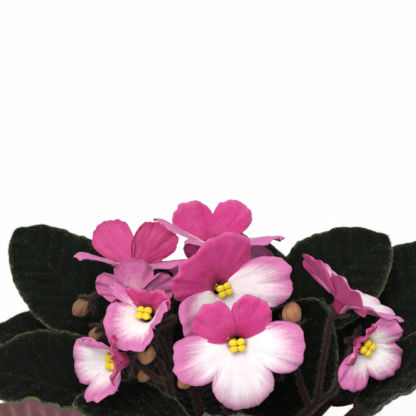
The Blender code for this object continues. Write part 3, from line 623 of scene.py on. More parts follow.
def streak_group():
    """Fine streaks that run from a flower's throat to its rim."""
    found = bpy.data.node_groups.get("Petal Streaks")
    if found:
        return found
    group, given, result = new_group(
        "Petal Streaks", {"Around Scale": 46.0, "Outward Scale": 3.0}, ("Streaks", "Flecks"),
    )
    around = add_node(group, "ShaderNodeAttribute", attribute_name="around")
    share = add_node(group, "ShaderNodeAttribute", attribute_name="share")
    wide = add_node(group, "ShaderNodeMath", operation="MULTIPLY")
    group.links.new(around.outputs["Fac"], wide.inputs[0])
    group.links.new(given.outputs["Around Scale"], wide.inputs[1])
    long = add_node(group, "ShaderNodeMath", operation="MULTIPLY")
    group.links.new(share.outputs["Fac"], long.inputs[0])
    group.links.new(given.outputs["Outward Scale"], long.inputs[1])
    joined = add_node(group, "ShaderNodeCombineXYZ")
    group.links.new(wide.outputs[0], joined.inputs["X"])
    group.links.new(long.outputs[0], joined.inputs["Y"])
    noise = add_node(group, "ShaderNodeTexNoise")
    noise.inputs["Scale"].default_value = 1.0
    noise.inputs["Detail"].default_value = 3.0
    group.links.new(joined.outputs[0], noise.inputs["Vector"])
    group.links.new(noise.outputs["Fac"], result.inputs["Streaks"])
    place_on = add_node(group, "ShaderNodeTexCoord")
    flecks = add_node(group, "ShaderNodeTexNoise")
    flecks.inputs["Scale"].default_value = 1400.0
    flecks.inputs["Detail"].default_value = 2.0
    group.links.new(place_on.outputs["Object"], flecks.inputs["Vector"])
    group.links.new(flecks.outputs["Fac"], result.inputs["Flecks"])
    return group


class Finish:
    """A node material in the making: a Principled shader and the nodes that feed it."""

    def __init__(self, name, roughness, **constants):
        self.material = bpy.data.materials.new(f"look_{name}")
        self.material.use_nodes = True
        self.tree = self.material.node_tree
        self.shader = self.tree.nodes["Principled BSDF"]
        self.shader.inputs["Roughness"].default_value = roughness
        for socket, value in constants.items():
            self.shader.inputs[socket.replace("_", " ")].default_value = value

    def link(self, output, socket):
        """Feeds a socket of the shader."""
        self.tree.links.new(output, self.shader.inputs[socket])

    def mask(self, name):
        """One of the masks that the mesh carries."""
        return add_node(self.tree, "ShaderNodeAttribute", attribute_name=name).outputs["Fac"]

    def group(self, tree, **values):
        """Outputs of a node group placed with this finish's own values."""
        node = add_node(self.tree, "ShaderNodeGroup", node_tree=tree)
        for socket, value in values.items():
            node.inputs[socket.replace("_", " ")].default_value = value
        return node.outputs

    def math(self, operation, first, second, clamp=False):
        """A sum, product or the like of two outputs or numbers."""
        node = add_node(self.tree, "ShaderNodeMath", operation=operation, use_clamp=clamp)
        for socket, value in zip(node.inputs, (first, second)):
            if isinstance(value, (int, float)):
                socket.default_value = value
            else:
                self.tree.links.new(value, socket)
        return node.outputs[0]

    def part(self, value, share):
        """A share of a mask."""
        return self.math("MULTIPLY", value, share)

    def remap(self, value, low, high, to_low=0.0, to_high=1.0):
        """A smooth ramp of a value from low to high."""
        node = add_node(self.tree, "ShaderNodeMapRange", interpolation_type="SMOOTHSTEP")
        self.tree.links.new(value, node.inputs["Value"])
        for socket, number in zip(node.inputs[1:5], (low, high, to_low, to_high)):
            socket.default_value = number
        return node.outputs["Result"]

    def mix(self, share, first, second):
        """Colour mixed by a share; a colour may be a tuple or another node's output."""
        node = add_node(self.tree, "ShaderNodeMix", data_type="RGBA")
        self.tree.links.new(share, node.inputs["Factor"])
        for socket, value in ((node.inputs["A"], first), (node.inputs["B"], second)):
            if isinstance(value, bpy.types.NodeSocket):
                self.tree.links.new(value, socket)
            else:
                socket.default_value = (*tuple(value)[:3], 1.0)
        return node.outputs["Result"]

    def bump(self, height, distance, strength):
        """Relief of the surface, its distance in metres."""
        node = add_node(self.tree, "ShaderNodeBump")
        node.inputs["Strength"].default_value = strength
        node.inputs["Distance"].default_value = distance
        self.tree.links.new(height, node.inputs["Height"])
        self.link(node.outputs["Normal"], "Normal")


def clay_finish(scene):
    """Unglazed clay with smoked patches and a pale bloom of minerals."""
    pot = scene.violet_pot
    clay = Finish("clay", 0.85, Specular_IOR_Level=0.3)
    mottle = clay.group(mottle_group(), Patch_Scale=38.0, Grain_Scale=1300.0, Contrast=2.2)
    coarse = clay.group(mottle_group(), Patch_Scale=15.0, Grain_Scale=380.0, Contrast=3.4)
    colour = clay.mix(mottle["Patches"], pot.clay, pot.clay_dark)
    bloom = clay.part(clay.remap(coarse["Patches"], 0.55, 1.0), 0.55)
    colour = clay.mix(bloom, colour, pot.bloom)
    clay.link(clay.mix(clay.part(mottle["Grain"], 0.25), colour, pot.clay_dark), "Base Color")
    clay.link(clay.remap(mottle["Grain"], 0.0, 1.0, 0.74, 0.95), "Roughness")
    clay.bump(clay.math("ADD", mottle["Grain"], coarse["Grain"]), 0.00012, 0.7)
    return clay.material


def mix_finish(scene):
    """Moist, crumbly potting mix."""
    pot = scene.violet_pot
    mix = Finish("mix", 0.95, Specular_IOR_Level=0.15)
    grains = mix.group(mottle_group(), Patch_Scale=420.0, Grain_Scale=2400.0, Contrast=3.0)
    mix.link(mix.mix(grains["Patches"], pot.mix, pot.bark), "Base Color")
    mix.bump(mix.math("ADD", grains["Grain"], grains["Patches"]), 0.0005, 0.9)
    return mix.material


def crumbs_finish(scene):
    """Crumbs from peat brown to bark, and pale ones of perlite."""
    pot = scene.violet_pot
    crumb = Finish("crumbs", 0.9, Specular_IOR_Level=0.2)
    grains = crumb.group(mottle_group(), Patch_Scale=900.0, Grain_Scale=3200.0, Contrast=2.0)
    colour = crumb.mix(crumb.mask("tint"), pot.mix, pot.bark)
    colour = crumb.mix(crumb.part(grains["Patches"], 0.4), colour, pot.mix)
    crumb.link(crumb.mix(crumb.mask("pale"), colour, pot.perlite), "Base Color")
    crumb.bump(grains["Grain"], 0.0002, 0.8)
    return crumb.material


def crown_finish(scene):
    """Woody, scarred skin of the crown."""
    pot = scene.violet_pot
    crown = Finish("crown", 0.8, Specular_IOR_Level=0.2)
    grains = crown.group(mottle_group(), Patch_Scale=260.0, Grain_Scale=1500.0, Contrast=2.4)
    crown.link(crown.mix(grains["Patches"], pot.crown_bark, pot.bark), "Base Color")
    crown.bump(crown.math("ADD", grains["Grain"], grains["Patches"]), 0.0004, 0.9)
    return crown.material


def leaf_finish(scene):
    """Dark velvet above, purple with pale ribs below, brown-red on the stalk."""
    leaf, stalk = scene.violet_leaf, scene.violet_stalk
    green = Finish("leaf", 0.8, Specular_IOR_Level=0.07, Sheen_Weight=0.035,
                   Sheen_Roughness=0.55, Sheen_Tint=(0.75, 0.85, 0.7, 1.0))
    grains = green.group(mottle_group(), Patch_Scale=110.0, Grain_Scale=2600.0, Contrast=2.0)
    vein, rim = green.mask("vein"), green.mask("rim")
    # painted sheen: random patches of lighter green on the upper side
    above = green.mix(grains["Patches"], leaf.upper, leaf.upper_sheen)
    above = green.mix(green.part(vein, 0.75), above, leaf.vein)
    above = green.mix(green.part(rim, 0.16), above, leaf.margin)
    below = green.mix(vein, leaf.under, leaf.under_vein)
    below = green.mix(green.remap(rim, 0.25, 0.9), below, leaf.margin)
    colour = green.mix(green.mask("under"), above, below)
    stem_colour = green.mix(grains["Patches"], leaf.petiole, stalk.skin)
    green.link(green.mix(green.mask("stem"), colour, stem_colour), "Base Color")
    green.link(green.remap(grains["Grain"], 0.0, 1.0, 0.66, 0.9), "Roughness")
    green.bump(grains["Grain"], 0.00018, 0.8)
    return green.material


def hair_finish(name, root, tip):
    """Pale hairs that take the skin's colour at their roots."""
    hair = Finish(name, 0.6, Specular_IOR_Level=0.3)
    hair.link(hair.mix(hair.mask("tip"), root, tip), "Base Color")
    return hair.material


def leaf_hairs_finish(scene):
    """Grey-white down of the leaves."""
    leaf = scene.violet_leaf
    return hair_finish("leaf_hairs", leaf.upper_sheen, leaf.hair)


def stalk_hairs_finish(scene):
    """Longer, warmer hairs of the flower stalks."""
    stalk = scene.violet_stalk
    return hair_finish("stalk_hairs", stalk.skin_light, stalk.hair)


def upper_lobe_colour(petal, flower, streaks, mottle, share, shade_tone):
    """Magenta of the upper lobes: deep at the throat and in the streaks, deepened by painted shade,
    paler in patches.
    """
    deep = petal.math("MAXIMUM", petal.remap(share, 0.42, 0.0),
                      petal.part(petal.remap(streaks, 0.45, 0.75), 0.35))
    # painted shade: the shade tone pulls the magenta toward the deep magenta
    magenta = petal.mix(petal.math("ADD", deep, shade_tone, clamp=True), flower.upper,
                        flower.upper_deep)
    rim = petal.part(petal.remap(share, 0.9, 1.0), 0.55)
    magenta = petal.mix(rim, magenta, flower.upper_rim)
    magenta = petal.mix(petal.part(mottle["Patches"], 0.26), magenta, flower.upper_rim)
    return petal.mix(petal.part(mottle["Grain"], 0.26), magenta, flower.upper_deep)


def petal_finish(scene):
    """Lobes of a corolla: magenta above, white that blushes to lilac below, paler at the back."""
    flower = scene.violet_flower
    petal = Finish("petal", 0.62, Specular_IOR_Level=0.3, Sheen_Weight=0.08,
                   Sheen_Roughness=0.4)
    fine = petal.group(streak_group(), Around_Scale=30.0, Outward_Scale=2.2)
    mottle = petal.group(mottle_group(), Patch_Scale=170.0, Grain_Scale=1100.0, Contrast=3.0)
    share, upper, shade_tone = petal.mask("share"), petal.mask("upper"), petal.mask("shade_tone")
    wander = petal.part(petal.math("SUBTRACT", fine["Streaks"], 0.5), 0.42)
    grain = petal.part(petal.math("SUBTRACT", fine["Flecks"], 0.5), 0.16)
    edge = petal.math("ADD", petal.math("SUBTRACT", share, petal.mask("blush")),
                      petal.math("ADD", wander, grain))
    white = petal.mix(petal.remap(edge, -0.26, 0.3), flower.lower, flower.blush)
    white = petal.mix(petal.part(mottle["Patches"], 0.09), white, flower.blush)
    magenta = upper_lobe_colour(petal, flower, fine["Streaks"], mottle, share, shade_tone)
    front = petal.mix(upper, white, magenta)
    pale = petal.mix(petal.remap(edge, -0.5, 0.2), flower.back_pale, flower.blush)
    # painted shade: the shade tone also deepens the backs of the lobes
    back = petal.mix(upper, petal.mix(shade_tone, pale, flower.back),
                     petal.mix(shade_tone, flower.back, flower.upper_deep))
    ribs = petal.part(petal.remap(fine["Streaks"], 0.4, 0.7), 0.3)
    back = petal.mix(ribs, back, flower.upper_rim)
    colour = petal.mix(petal.mask("under"), front, back)
    petal.link(petal.mix(petal.mask("throat"), colour, flower.throat), "Base Color")
    petal.link(petal.remap(fine["Flecks"], 0.3, 0.7, 0.5, 0.75), "Roughness")
    petal.bump(petal.math("ADD", fine["Flecks"], fine["Streaks"]), 0.00012, 0.3)
    return petal.material


def anther_finish(scene):
    """Bright yellow pollen sacs, deeper in their folds, on pale filaments."""
    flower = scene.violet_flower
    pollen = Finish("anther", 0.55, Specular_IOR_Level=0.35)
    grains = pollen.group(mottle_group(), Patch_Scale=900.0, Grain_Scale=5200.0, Contrast=2.0)
    yellow = pollen.mix(pollen.mask("fold"), flower.anther, flower.anther_deep)
    yellow = pollen.mix(pollen.part(grains["Patches"], 0.25), yellow, flower.anther_deep)
    pollen.link(pollen.mix(pollen.mask("stem"), yellow, flower.filament), "Base Color")
    pollen.bump(grains["Grain"], 0.00008, 0.7)
    return pollen.material


def pistil_finish(scene):
    """Olive ovary and purple style."""
    flower = scene.violet_flower
    olive = Finish("pistil", 0.6, Specular_IOR_Level=0.3)
    grains = olive.group(mottle_group(), Patch_Scale=800.0, Grain_Scale=4200.0, Contrast=2.0)
    base = olive.mix(grains["Patches"], flower.ovary, flower.anther_deep)
    olive.link(olive.mix(olive.mask("stem"), base, flower.style), "Base Color")
    olive.bump(grains["Grain"], 0.00008, 0.7)
    return olive.material


def stalk_finish(scene):
    """Dark maroon stalks and their sepals."""
    stalk = scene.violet_stalk
    skin = Finish("stalk", 0.6, Specular_IOR_Level=0.2, Sheen_Weight=0.1, Sheen_Roughness=0.5)
    grains = skin.group(mottle_group(), Patch_Scale=170.0, Grain_Scale=2800.0, Contrast=2.2)
    colour = skin.mix(grains["Patches"], stalk.skin, stalk.skin_light)
    sepal = skin.mix(grains["Patches"], stalk.sepal, stalk.skin)
    skin.link(skin.mix(skin.mask("sepal"), colour, sepal), "Base Color")
    skin.bump(grains["Grain"], 0.00015, 0.8)
    return skin.material


def bud_finish(scene):
    """Peach buds, deeper in their folds and green while they are small."""
    stalk = scene.violet_stalk
    bud = Finish("bud", 0.55, Specular_IOR_Level=0.3, Sheen_Weight=0.1, Sheen_Roughness=0.5)
    grains = bud.group(mottle_group(), Patch_Scale=300.0, Grain_Scale=3600.0, Contrast=2.0)
    colour = bud.mix(bud.mask("fold"), stalk.bud, stalk.bud_deep)
    colour = bud.mix(bud.part(bud.mask("tip"), 0.7), colour, stalk.bud_tip)
    colour = bud.mix(bud.mask("green"), colour, stalk.bud_green)
    bud.link(bud.mix(bud.part(grains["Patches"], 0.45), colour, stalk.bud_deep), "Base Color")
    bud.bump(grains["Grain"], 0.0001, 0.7)
    return bud.material


def floor_finish(scene):
    """Pale matt floor, very slightly uneven."""
    stage = scene.violet_stage
    pale = Finish("floor", 0.9, Specular_IOR_Level=0.1)
    grains = pale.group(mottle_group(), Patch_Scale=2.0, Grain_Scale=30.0, Contrast=0.5)
    pale.link(pale.mix(grains["Patches"], stage.floor, stage.floor_light), "Base Color")
    return pale.material


FINISHES = {
    "clay": clay_finish, "mix": mix_finish, "crumbs": crumbs_finish, "crown": crown_finish,
    "leaf": leaf_finish, "leaf_hairs": leaf_hairs_finish, "stalk_hairs": stalk_hairs_finish,
    "petal": petal_finish, "anther": anther_finish, "pistil": pistil_finish,
    "stalk": stalk_finish, "bud": bud_finish, "floor": floor_finish,
}


def finish_of(name):
    """A finished material, made the first time it is wanted."""
    found = bpy.data.materials.get(f"look_{name}")
    return found if found else FINISHES[name](bpy.context.scene)


# Shapes shared by several pieces


def blend(value, low, high):
    """Smooth step from 0 at low to 1 at high."""
    t = np.clip((value - low) / (high - low), 0.0, 1.0)
    return t * t * (3 - 2 * t)


def waves(rng, x, y, longest, shortest, count=22):
    """Uneven ground: a sum of plane waves of random direction, about -1 to 1."""
    total = np.zeros_like(x)
    for _ in range(count):
        length = shortest + (longest - shortest) * rng.random() ** 2
        turn, shift = rng.random(2) * 2 * pi
        total = total + np.sin((x * cos(turn) + y * sin(turn)) * 2 * pi / length + shift)
    return total / np.sqrt(count)


def ball_grid(centre, radii, axes=None, rings=14, sides=20):
    """A scaled sphere as rings from its foot to its top."""
    polar = pi * (1 - (np.arange(rings) + 0.25) / (rings - 0.5))
    turn = np.arange(sides) * 2 * pi / sides
    local = np.stack([
        radii[0] * np.sin(polar)[:, None] * np.cos(turn),
        radii[1] * np.sin(polar)[:, None] * np.sin(turn),
        radii[2] * np.cos(polar)[:, None] * np.ones(sides),
    ], axis=2)
    if axes is not None:
        local = local @ np.array([tuple(a) for a in axes])
    return np.array(centre, dtype=float) + local


def scatter(grid, count, rng, outward=1.0, weight=None):
    """Random spots on a grid of rings: points, outward normals and ways along the rings' rows."""
    ahead = np.roll(grid, -1, axis=1)
    corner, across, along_rows = grid[:-1], ahead[:-1] - grid[:-1], grid[1:] - grid[:-1]
    normal = np.cross(across, along_rows)
    area = np.linalg.norm(normal, axis=2)
    if weight is not None:
        area = area * weight[:-1]
    area = area.ravel()
    spot = rng.choice(area.size, count, p=area / area.sum())
    first, second = rng.random((2, count, 1))
    points = (corner.reshape(-1, 3)[spot] + first * across.reshape(-1, 3)[spot]
              + second * along_rows.reshape(-1, 3)[spot])
    normals = outward * unit(normal.reshape(-1, 3)[spot])
    return points, normals, unit(along_rows.reshape(-1, 3)[spot])


def spread_ways(rng, normals, lean, spread):
    """Hair directions: off the skin, leaning one way, each a little its own."""
    return unit(normals + lean + rng.normal(0.0, spread, normals.shape))


# Pot, potting mix and crown


def pot_inner_radius(z):
    """Inside of the wall: straight taper up to the rim band, then the band's own taper."""
    shoulder = POT_HEIGHT - POT_RIM_HEIGHT
    if z >= shoulder:
        t = (z - shoulder) / POT_RIM_HEIGHT
        flare = POT_RIM_RADIUS - POT_BODY_RADIUS - RIM_WALL_EASE
        return POT_BODY_RADIUS - POT_WALL + t * flare
    return POT_BASE_RADIUS - POT_WALL + z / shoulder * (POT_BODY_RADIUS - POT_BASE_RADIUS)


def rounded(profile, radius, steps=5):
    """A profile with each inner corner eased by a small curve, and long runs divided."""
    points = [np.array(p, dtype=float) for p in profile]
    eased = [points[0]]
    for before, corner, after in zip(points, points[1:], points[2:]):
        back, on = before - corner, after - corner
        cut = min(radius, 0.45 * np.linalg.norm(back), 0.45 * np.linalg.norm(on))
        start = corner + cut * unit(back)
        end = corner + cut * unit(on)
        for i in range(steps + 1):
            t = i / steps
            eased.append((1 - t) ** 2 * start + 2 * (1 - t) * t * corner + t ** 2 * end)
    eased.append(points[-1])
    fine = [eased[0]]
    for start, end in zip(eased, eased[1:]):
        parts = max(1, int(np.linalg.norm(end - start) / 2.5))
        fine.extend(start + (end - start) * (i + 1) / parts for i in range(parts))
    return fine


class VIOLET_OT_pot(bpy.types.Operator):
    """Builds the clay pot with its rim band, turning ridges and drain holes"""
    bl_idname = "violet.add_pot"
    bl_label = "Add clay pot"

    def execute(self, context):
        mesh = self.drilled(context, self.turned(context.scene.violet_pot.ridge / MM))
        mesh.uv_layers.remove(mesh.uv_layers[0])
        mesh.set_sharp_from_angle(angle=radians(38))
        place("clay_pot", mesh, finish_of("clay"), "pot")
        return {"FINISHED"}

    def turned(self, ridge, sides=144, plain=2.0):
        """The whole pot, turned, its outside ridged except close to its foot and its lip."""
        shoulder = POT_HEIGHT - POT_RIM_HEIGHT
        profile = rounded((
            (AXIS_GAP, POT_FLOOR), (pot_inner_radius(POT_FLOOR) - 0.5, POT_FLOOR),
            (pot_inner_radius(shoulder), shoulder), (pot_inner_radius(POT_HEIGHT), POT_HEIGHT),
            (POT_RIM_RADIUS, POT_HEIGHT), (POT_RIM_RADIUS - RIM_TAPER, shoulder),
            (POT_BODY_RADIUS, shoulder), (POT_BASE_RADIUS, 0.0), (AXIS_GAP, 0.0),
        ), POT_EDGE)
        ridged = []
        for radius, height in profile:
            outside = plain < height < POT_HEIGHT - plain
            wobble = ridge * (sin(height * 1.9) + 0.6 * sin(height * 0.83 + 1.0)) * outside
            ridged.append((radius + wobble, height))
        skin = Skin(())
        skin.add(turned_grid(ridged, sides))
        return bpy.data.objects.new("pot_cut", skin.mesh("clay_pot"))

    def drilled(self, context, pot):
        """The pot's mesh with its drain holes cut."""
        cutter = Skin(())
        for i in range(DRAIN_HOLES):
            angle = 2 * pi * (i + 0.5) / DRAIN_HOLES
            ring = turned_grid([(DRAIN_RADIUS, -POT_FLOOR), (DRAIN_RADIUS, 2 * POT_FLOOR)], 28)
            cutter.add(ring + DRAIN_RING_RADIUS * np.array((cos(angle), sin(angle), 0.0)))
        holes = bpy.data.objects.new("pot_holes", cutter.mesh("pot_holes"))
        for obj in (pot, holes):
            context.scene.collection.objects.link(obj)
        cut = pot.modifiers.new("Drain holes", "BOOLEAN")
        cut.operation = "DIFFERENCE"
        cut.solver = "EXACT"
        cut.object = holes
        context.view_layer.update()
        graph = context.evaluated_depsgraph_get()
        mesh = bpy.data.meshes.new_from_object(pot.evaluated_get(graph))
        for obj in (pot, holes):
            bpy.data.objects.remove(obj)
        return mesh


def mix_height(x, y):
    """Uneven top of the potting mix, higher toward the crown."""
    rng = np.random.default_rng(71)
    wall = pot_inner_radius(MIX_TOP - MIX_DOME)
    out = np.hypot(x, y) / wall
    dome = MIX_DOME * (1 - 0.9 * out ** 2)
    level = MIX_TOP - MIX_DOME + dome - MIX_SETTLED
    return level + MIX_RELIEF * waves(rng, x, y, 14.0, 2.6)


class VIOLET_OT_mix(bpy.types.Operator):
    """Builds the potting mix with its crumbs of bark, peat and perlite"""
    bl_idname = "violet.add_potting_mix"
    bl_label = "Add potting mix"

    def execute(self, context):
        settings = context.scene.violet_pot
        wall = pot_inner_radius(MIX_TOP - MIX_DOME) - SEAT_GAP
        self.add_soil(wall)
        self.add_crumbs(wall, settings.crumbs, settings.crumb_size / MM)
        return {"FINISHED"}

    def add_soil(self, wall, sides=120, rings=46):
        """The body of the mix: an uneven top, and a plain wall, foot and crown socket."""
        turn = np.arange(sides) * 2 * pi / sides
        radii = np.linspace(NECK_RADIUS + SEAT_GAP, wall, rings)
        x, y = radii[:, None] * np.cos(turn), radii[:, None] * np.sin(turn)
        top = np.stack([x, y, mix_height(x, y)], axis=2)
        shoulder = POT_HEIGHT - POT_RIM_HEIGHT
        foot, socket, chamfer = POT_FLOOR + SEAT_GAP, NECK_BOTTOM - SEAT_GAP, 2.5
        under = turned_grid([
            (wall - 0.2, shoulder + 3.0), (pot_inner_radius(shoulder) - SEAT_GAP, shoulder),
            (pot_inner_radius(POT_FLOOR + chamfer) - SEAT_GAP, POT_FLOOR + chamfer),
            (pot_inner_radius(POT_FLOOR) - chamfer, foot), (0.4, foot), (0.4, socket),
            (NECK_RADIUS + SEAT_GAP, socket),
        ], sides)
        skin = Skin(())
        skin.add(np.concatenate([top, under]), closed_rows=True)
        place("potting_mix_soil", skin.mesh("potting_mix_soil"), finish_of("mix"),
              "potting_mix")

    def add_crumbs(self, wall, count, size):
        """Angular crumbs strewn over the mix, from the crown to the wall."""
        rng = np.random.default_rng(72)
        crumbs = Skin(("tint", "pale"))
        for _ in range(count):
            out = NECK_RADIUS + 1.6 + (wall - NECK_RADIUS - 3.0) * np.sqrt(rng.random())
            angle = rng.random() * 2 * pi
            x, y = out * cos(angle), out * sin(angle)
            pale = rng.random() < PALE_CRUMBS
            radius = size * (0.45 + 1.1 * rng.random() ** 2)
            flat = np.array((1.0, 0.6 + 0.3 * rng.random(), 0.45 + 0.3 * rng.random())) * radius
            axes = np.linalg.qr(rng.normal(size=(3, 3)))[0]
            grid = ball_grid((0, 0, 0), flat, axes, *CRUMB_GRID)
            grid = grid * (1 + 0.22 * rng.normal(size=(*CRUMB_GRID, 1)).clip(-1.5, 1.5))
            z = float(mix_height(np.array(x), np.array(y))) + 0.25 * radius
            crumbs.add(grid + np.array((x, y, z)), tint=rng.random(), pale=float(pale))
        mesh = crumbs.mesh("potting_mix_crumbs")
        mesh.set_sharp_from_angle(angle=radians(40))
        place("potting_mix_crumbs", mesh, finish_of("crumbs"))


class VIOLET_OT_crown(bpy.types.Operator):
    """Builds the short woody crown that carries the leaves and the flower stalks"""
    bl_idname = "violet.add_crown"
    bl_label = "Add crown"

    def execute(self, context):
        low_bottom, low_top, low_radius = CROWN_LOW
        high_bottom, high_top, high_radius = CROWN_HIGH
        profile = rounded((
            (AXIS_GAP, NECK_BOTTOM), (NECK_RADIUS, NECK_BOTTOM), (NECK_RADIUS, MIX_TOP + 0.8),
            (low_radius, low_bottom), (low_radius, low_top), (high_radius, high_bottom),
            (high_radius, high_top), (AXIS_GAP, high_top),
        ), 1.0)
        grid = turned_grid(profile, 72)
        rng = np.random.default_rng(73)
        turn = np.arctan2(grid[..., 1], grid[..., 0])
        rough = waves(rng, turn * low_radius, grid[..., 2] * 1.5, 6.0, 1.6)
        usual, uneven, most = BARK_SHRINK
        inward = 1 - np.clip(usual + uneven * rough, 0.0, most) * (grid[..., 2] > MIX_TOP)
        grid[..., :2] *= inward[..., None]
        skin = Skin(())
        skin.add(grid)
        place("crown_bark", skin.mesh("crown_bark"), finish_of("crown"), "crown")
        return {"FINISHED"}


# Leaves


def bezier(p0, p1, p2, p3, t):
    """Points of a cubic curve."""
    return ((1 - t) ** 3 * p0 + 3 * (1 - t) ** 2 * t * p1
            + 3 * (1 - t) * t ** 2 * p2 + t ** 3 * p3)


def leaf_line(leaf, stalk_rings=22, blade_rings=92):
    """Middle line of a leaf: points, forward, side and up ways, and share along the blade."""
    tier, bearing, base, tip, _, face, _, bow = leaf
    base, tip, face = (np.array(v, dtype=float) for v in (base, tip, face))
    radius, height = LEAF_TIERS[tier]
    outward = np.array((cos(radians(bearing)), sin(radians(bearing)), 0.0))
    foot = outward * (radius + SEAT_GAP + 0.05) + np.array((0.0, 0.0, height))
    chord = unit(tip - base)
    normal = unit(face - np.dot(face, chord) * chord)
    bend = 0.5 * (base + tip) + normal * bow
    reach = np.linalg.norm(base - foot)
    knee = foot + outward * (KNEE_SHARE * reach)
    wrist = base - unit(bend - base) * (WRIST_SHARE * reach)
    t = (np.arange(stalk_rings) / stalk_rings)[:, None]
    stalk = bezier(foot, knee, wrist, base, t)
    stalk_way = unit(bezier(foot, knee, wrist, base, t + 0.02) - stalk)
    stalk_way[0] = outward
    stalk_up = normal * t + np.array((0.0, 0.0, 1.0)) * (1 - t)
    even = np.linspace(0.0, 1.0, blade_rings)
    u = (0.45 * even + 0.55 * (0.5 - 0.5 * np.cos(pi * even)))[:, None]
    blade = (1 - u) ** 2 * base + 2 * (1 - u) * u * bend + u ** 2 * tip
    blade_way = unit((1 - u) * (bend - base) + u * (tip - bend))
    centre = np.concatenate([stalk, blade])
    way = np.concatenate([stalk_way, blade_way])
    up = np.concatenate([stalk_up, np.broadcast_to(normal, blade.shape)])
    side = unit(np.cross(way, up))
    share = np.concatenate([np.full((stalk_rings, 1), -1.0), u])
    return centre, way, side, np.cross(side, way), share


def blade_half_width(width, length, far):
    """Half of the leaf's width along it, with its scalloped edge and down to its stalk."""
    half = 0.5 * width * np.sin(pi * far ** 0.82) ** 0.62
    scallop = np.abs(np.sin(pi * far * length / SCALLOP_LENGTH)) * blend(far, 0.02, 0.15)
    return np.maximum(half * (1 + SCALLOP_DEPTH * scallop),
                      np.where(far < 0.5, PETIOLE_RADIUS, BLADE_TIP))


def blade_relief(x, half, far, length, blade):
    """Masks of the side veins, the midrib, the pillows between them and the inner blade."""
    aside = np.abs(x) * half
    sweep = VEIN_SLANT * aside + VEIN_SWEEP * aside ** 2
    phase = (far * length - sweep) / VEIN_SPACING
    off_vein = np.abs(phase - np.round(phase)) * VEIN_SPACING * 0.8
    inside = blend(1 - np.abs(x), 0.0, 0.25) * blend(far, 0.0, 0.12) * blade
    side_vein = np.exp(-(off_vein / SIDE_VEIN_WIDTH) ** 2) * inside
    midrib = np.exp(-(aside / MIDRIB_WIDTH) ** 2) * blade * blend(1 - far, 0.0, 0.1)
    off_midrib = 1 - np.exp(-(aside / MIDRIB_VALLEY) ** 2)
    pillow = (1 - np.exp(-(off_vein / SIDE_VEIN_VALLEY) ** 2)) * off_midrib * inside
    return side_vein, midrib, pillow, inside


def leaf_grid(name, quilting, groove, across=45):
    """Rings round a leaf stalk and its blade, and the masks of their points."""
    _, _, base, tip, width, _, cup, _ = LEAVES[name]
    rng = np.random.default_rng(100 + int(name[-2:]))
    centre, way, side, up, share = leaf_line(LEAVES[name])
    far, blade = np.clip(share, 0.0, 1.0), (share >= 0).astype(float)
    length = np.linalg.norm(np.subtract(tip, base))
    span = np.linspace(1.0, -1.0, across)
    x = np.sign(span) * np.abs(span) ** 1.2
    x = np.concatenate([x, x[::-1]])[None, :]
    top = np.concatenate([np.ones(across), np.zeros(across)])[None, :]
    half = blade_half_width(width, length, far)
    side_vein, midrib, pillow, inside = blade_relief(x, half, far, length, blade)

    round_off = np.sqrt(np.clip(1 - x ** 2, 0.0, 1.0))
    flat = np.clip(1 - np.abs(x) ** 5, 0.0, 1.0) ** 0.5
    ease = np.where(blade > 0, np.clip(far * 4, 0.0, 1.0), 0.0)
    thick = PETIOLE_RADIUS * round_off * (1 - ease) + BLADE_HALF_THICKNESS * flat * ease
    rough = UNEVENNESS * waves(rng, far * length + 0 * x, x * half, 7.0, 2.2) * inside
    lift = cup * np.abs(x) ** 2 * np.clip(far * 6, 0.0, 1.0) * (2 * half / width) ** 2
    wave = sum(high * np.sin(far * length * pace + rng.random() * 6)
               for high, pace in MARGIN_WAVES) * np.abs(x) ** 3
    lift = (lift + wave * blend(far, 0.05, 0.3)) * blade
    relief = quilting * pillow + rough - groove * midrib - 0.5 * groove * side_vein
    keel = KEEL_HEIGHT * midrib * (1 - 0.75 * far) + RIB_HEIGHT * side_vein
    rise = np.where(top > 0, thick + relief, -thick + relief * 0.7 - keel) + lift

    ear = np.abs(x) ** 1.6 * np.clip(1 - far / EAR_SHARE, 0.0, 1.0) ** 1.4 * blade
    back = EAR_LENGTH * ear * (half > PETIOLE_RADIUS * 1.6)
    grid = (centre[:, None] + side[:, None] * (half * x)[..., None]
            + up[:, None] * rise[..., None] - way[:, None] * back[..., None])
    grid[-1] = grid[-1].mean(axis=0)
    rim = np.exp(-(1 - np.abs(x)) * half / RIM_WIDTH) * blend(far, 0.02, 0.1)
    masks = {
        "vein": np.maximum(side_vein * 0.8, midrib), "rim": rim * blade,
        "under": np.broadcast_to(1 - top, grid.shape[:2]) * blend(far, 0.0, 0.08),
        "stem": np.broadcast_to(1 - blend(far, 0.0, 0.07) * blade, grid.shape[:2]),
    }
    return grid, masks


class VIOLET_OT_leaves(bpy.types.Operator):
    """Builds the quilted, hairy leaves on their stalks"""
    bl_idname = "violet.add_leaves"
    bl_label = "Add leaves"

    def execute(self, context):
        settings = context.scene.violet_leaf
        for name in LEAVES:
            grid, masks = leaf_grid(name, settings.quilting / MM, settings.groove / MM)
            skin = Skin(("vein", "rim", "under", "stem"))
            skin.add(grid, **masks)
            place(f"{name}_blade", skin.mesh(f"{name}_blade"), finish_of("leaf"), name)
            rng = np.random.default_rng(200 + int(name[-2:]))
            on_blade, on_stalk, on_rim = LEAF_HAIR_WEIGHTS
            weight = on_blade + on_stalk * masks["stem"] + on_rim * masks["rim"]
            count = settings.hairs
            roots, normals, ways = scatter(grid, count, rng, outward=-1.0, weight=weight)
            hair_ways = spread_ways(rng, normals, 0.35 * ways, 0.35)
            lengths = settings.hair_length / MM * (0.5 + 0.9 * rng.random(count))
            mesh = hair_mesh(f"{name}_hairs", roots, hair_ways, lengths, LEAF_HAIR_RADIUS)
            place(f"{name}_hairs", mesh, finish_of("leaf_hairs"))
        return {"FINISHED"}


# Flowers


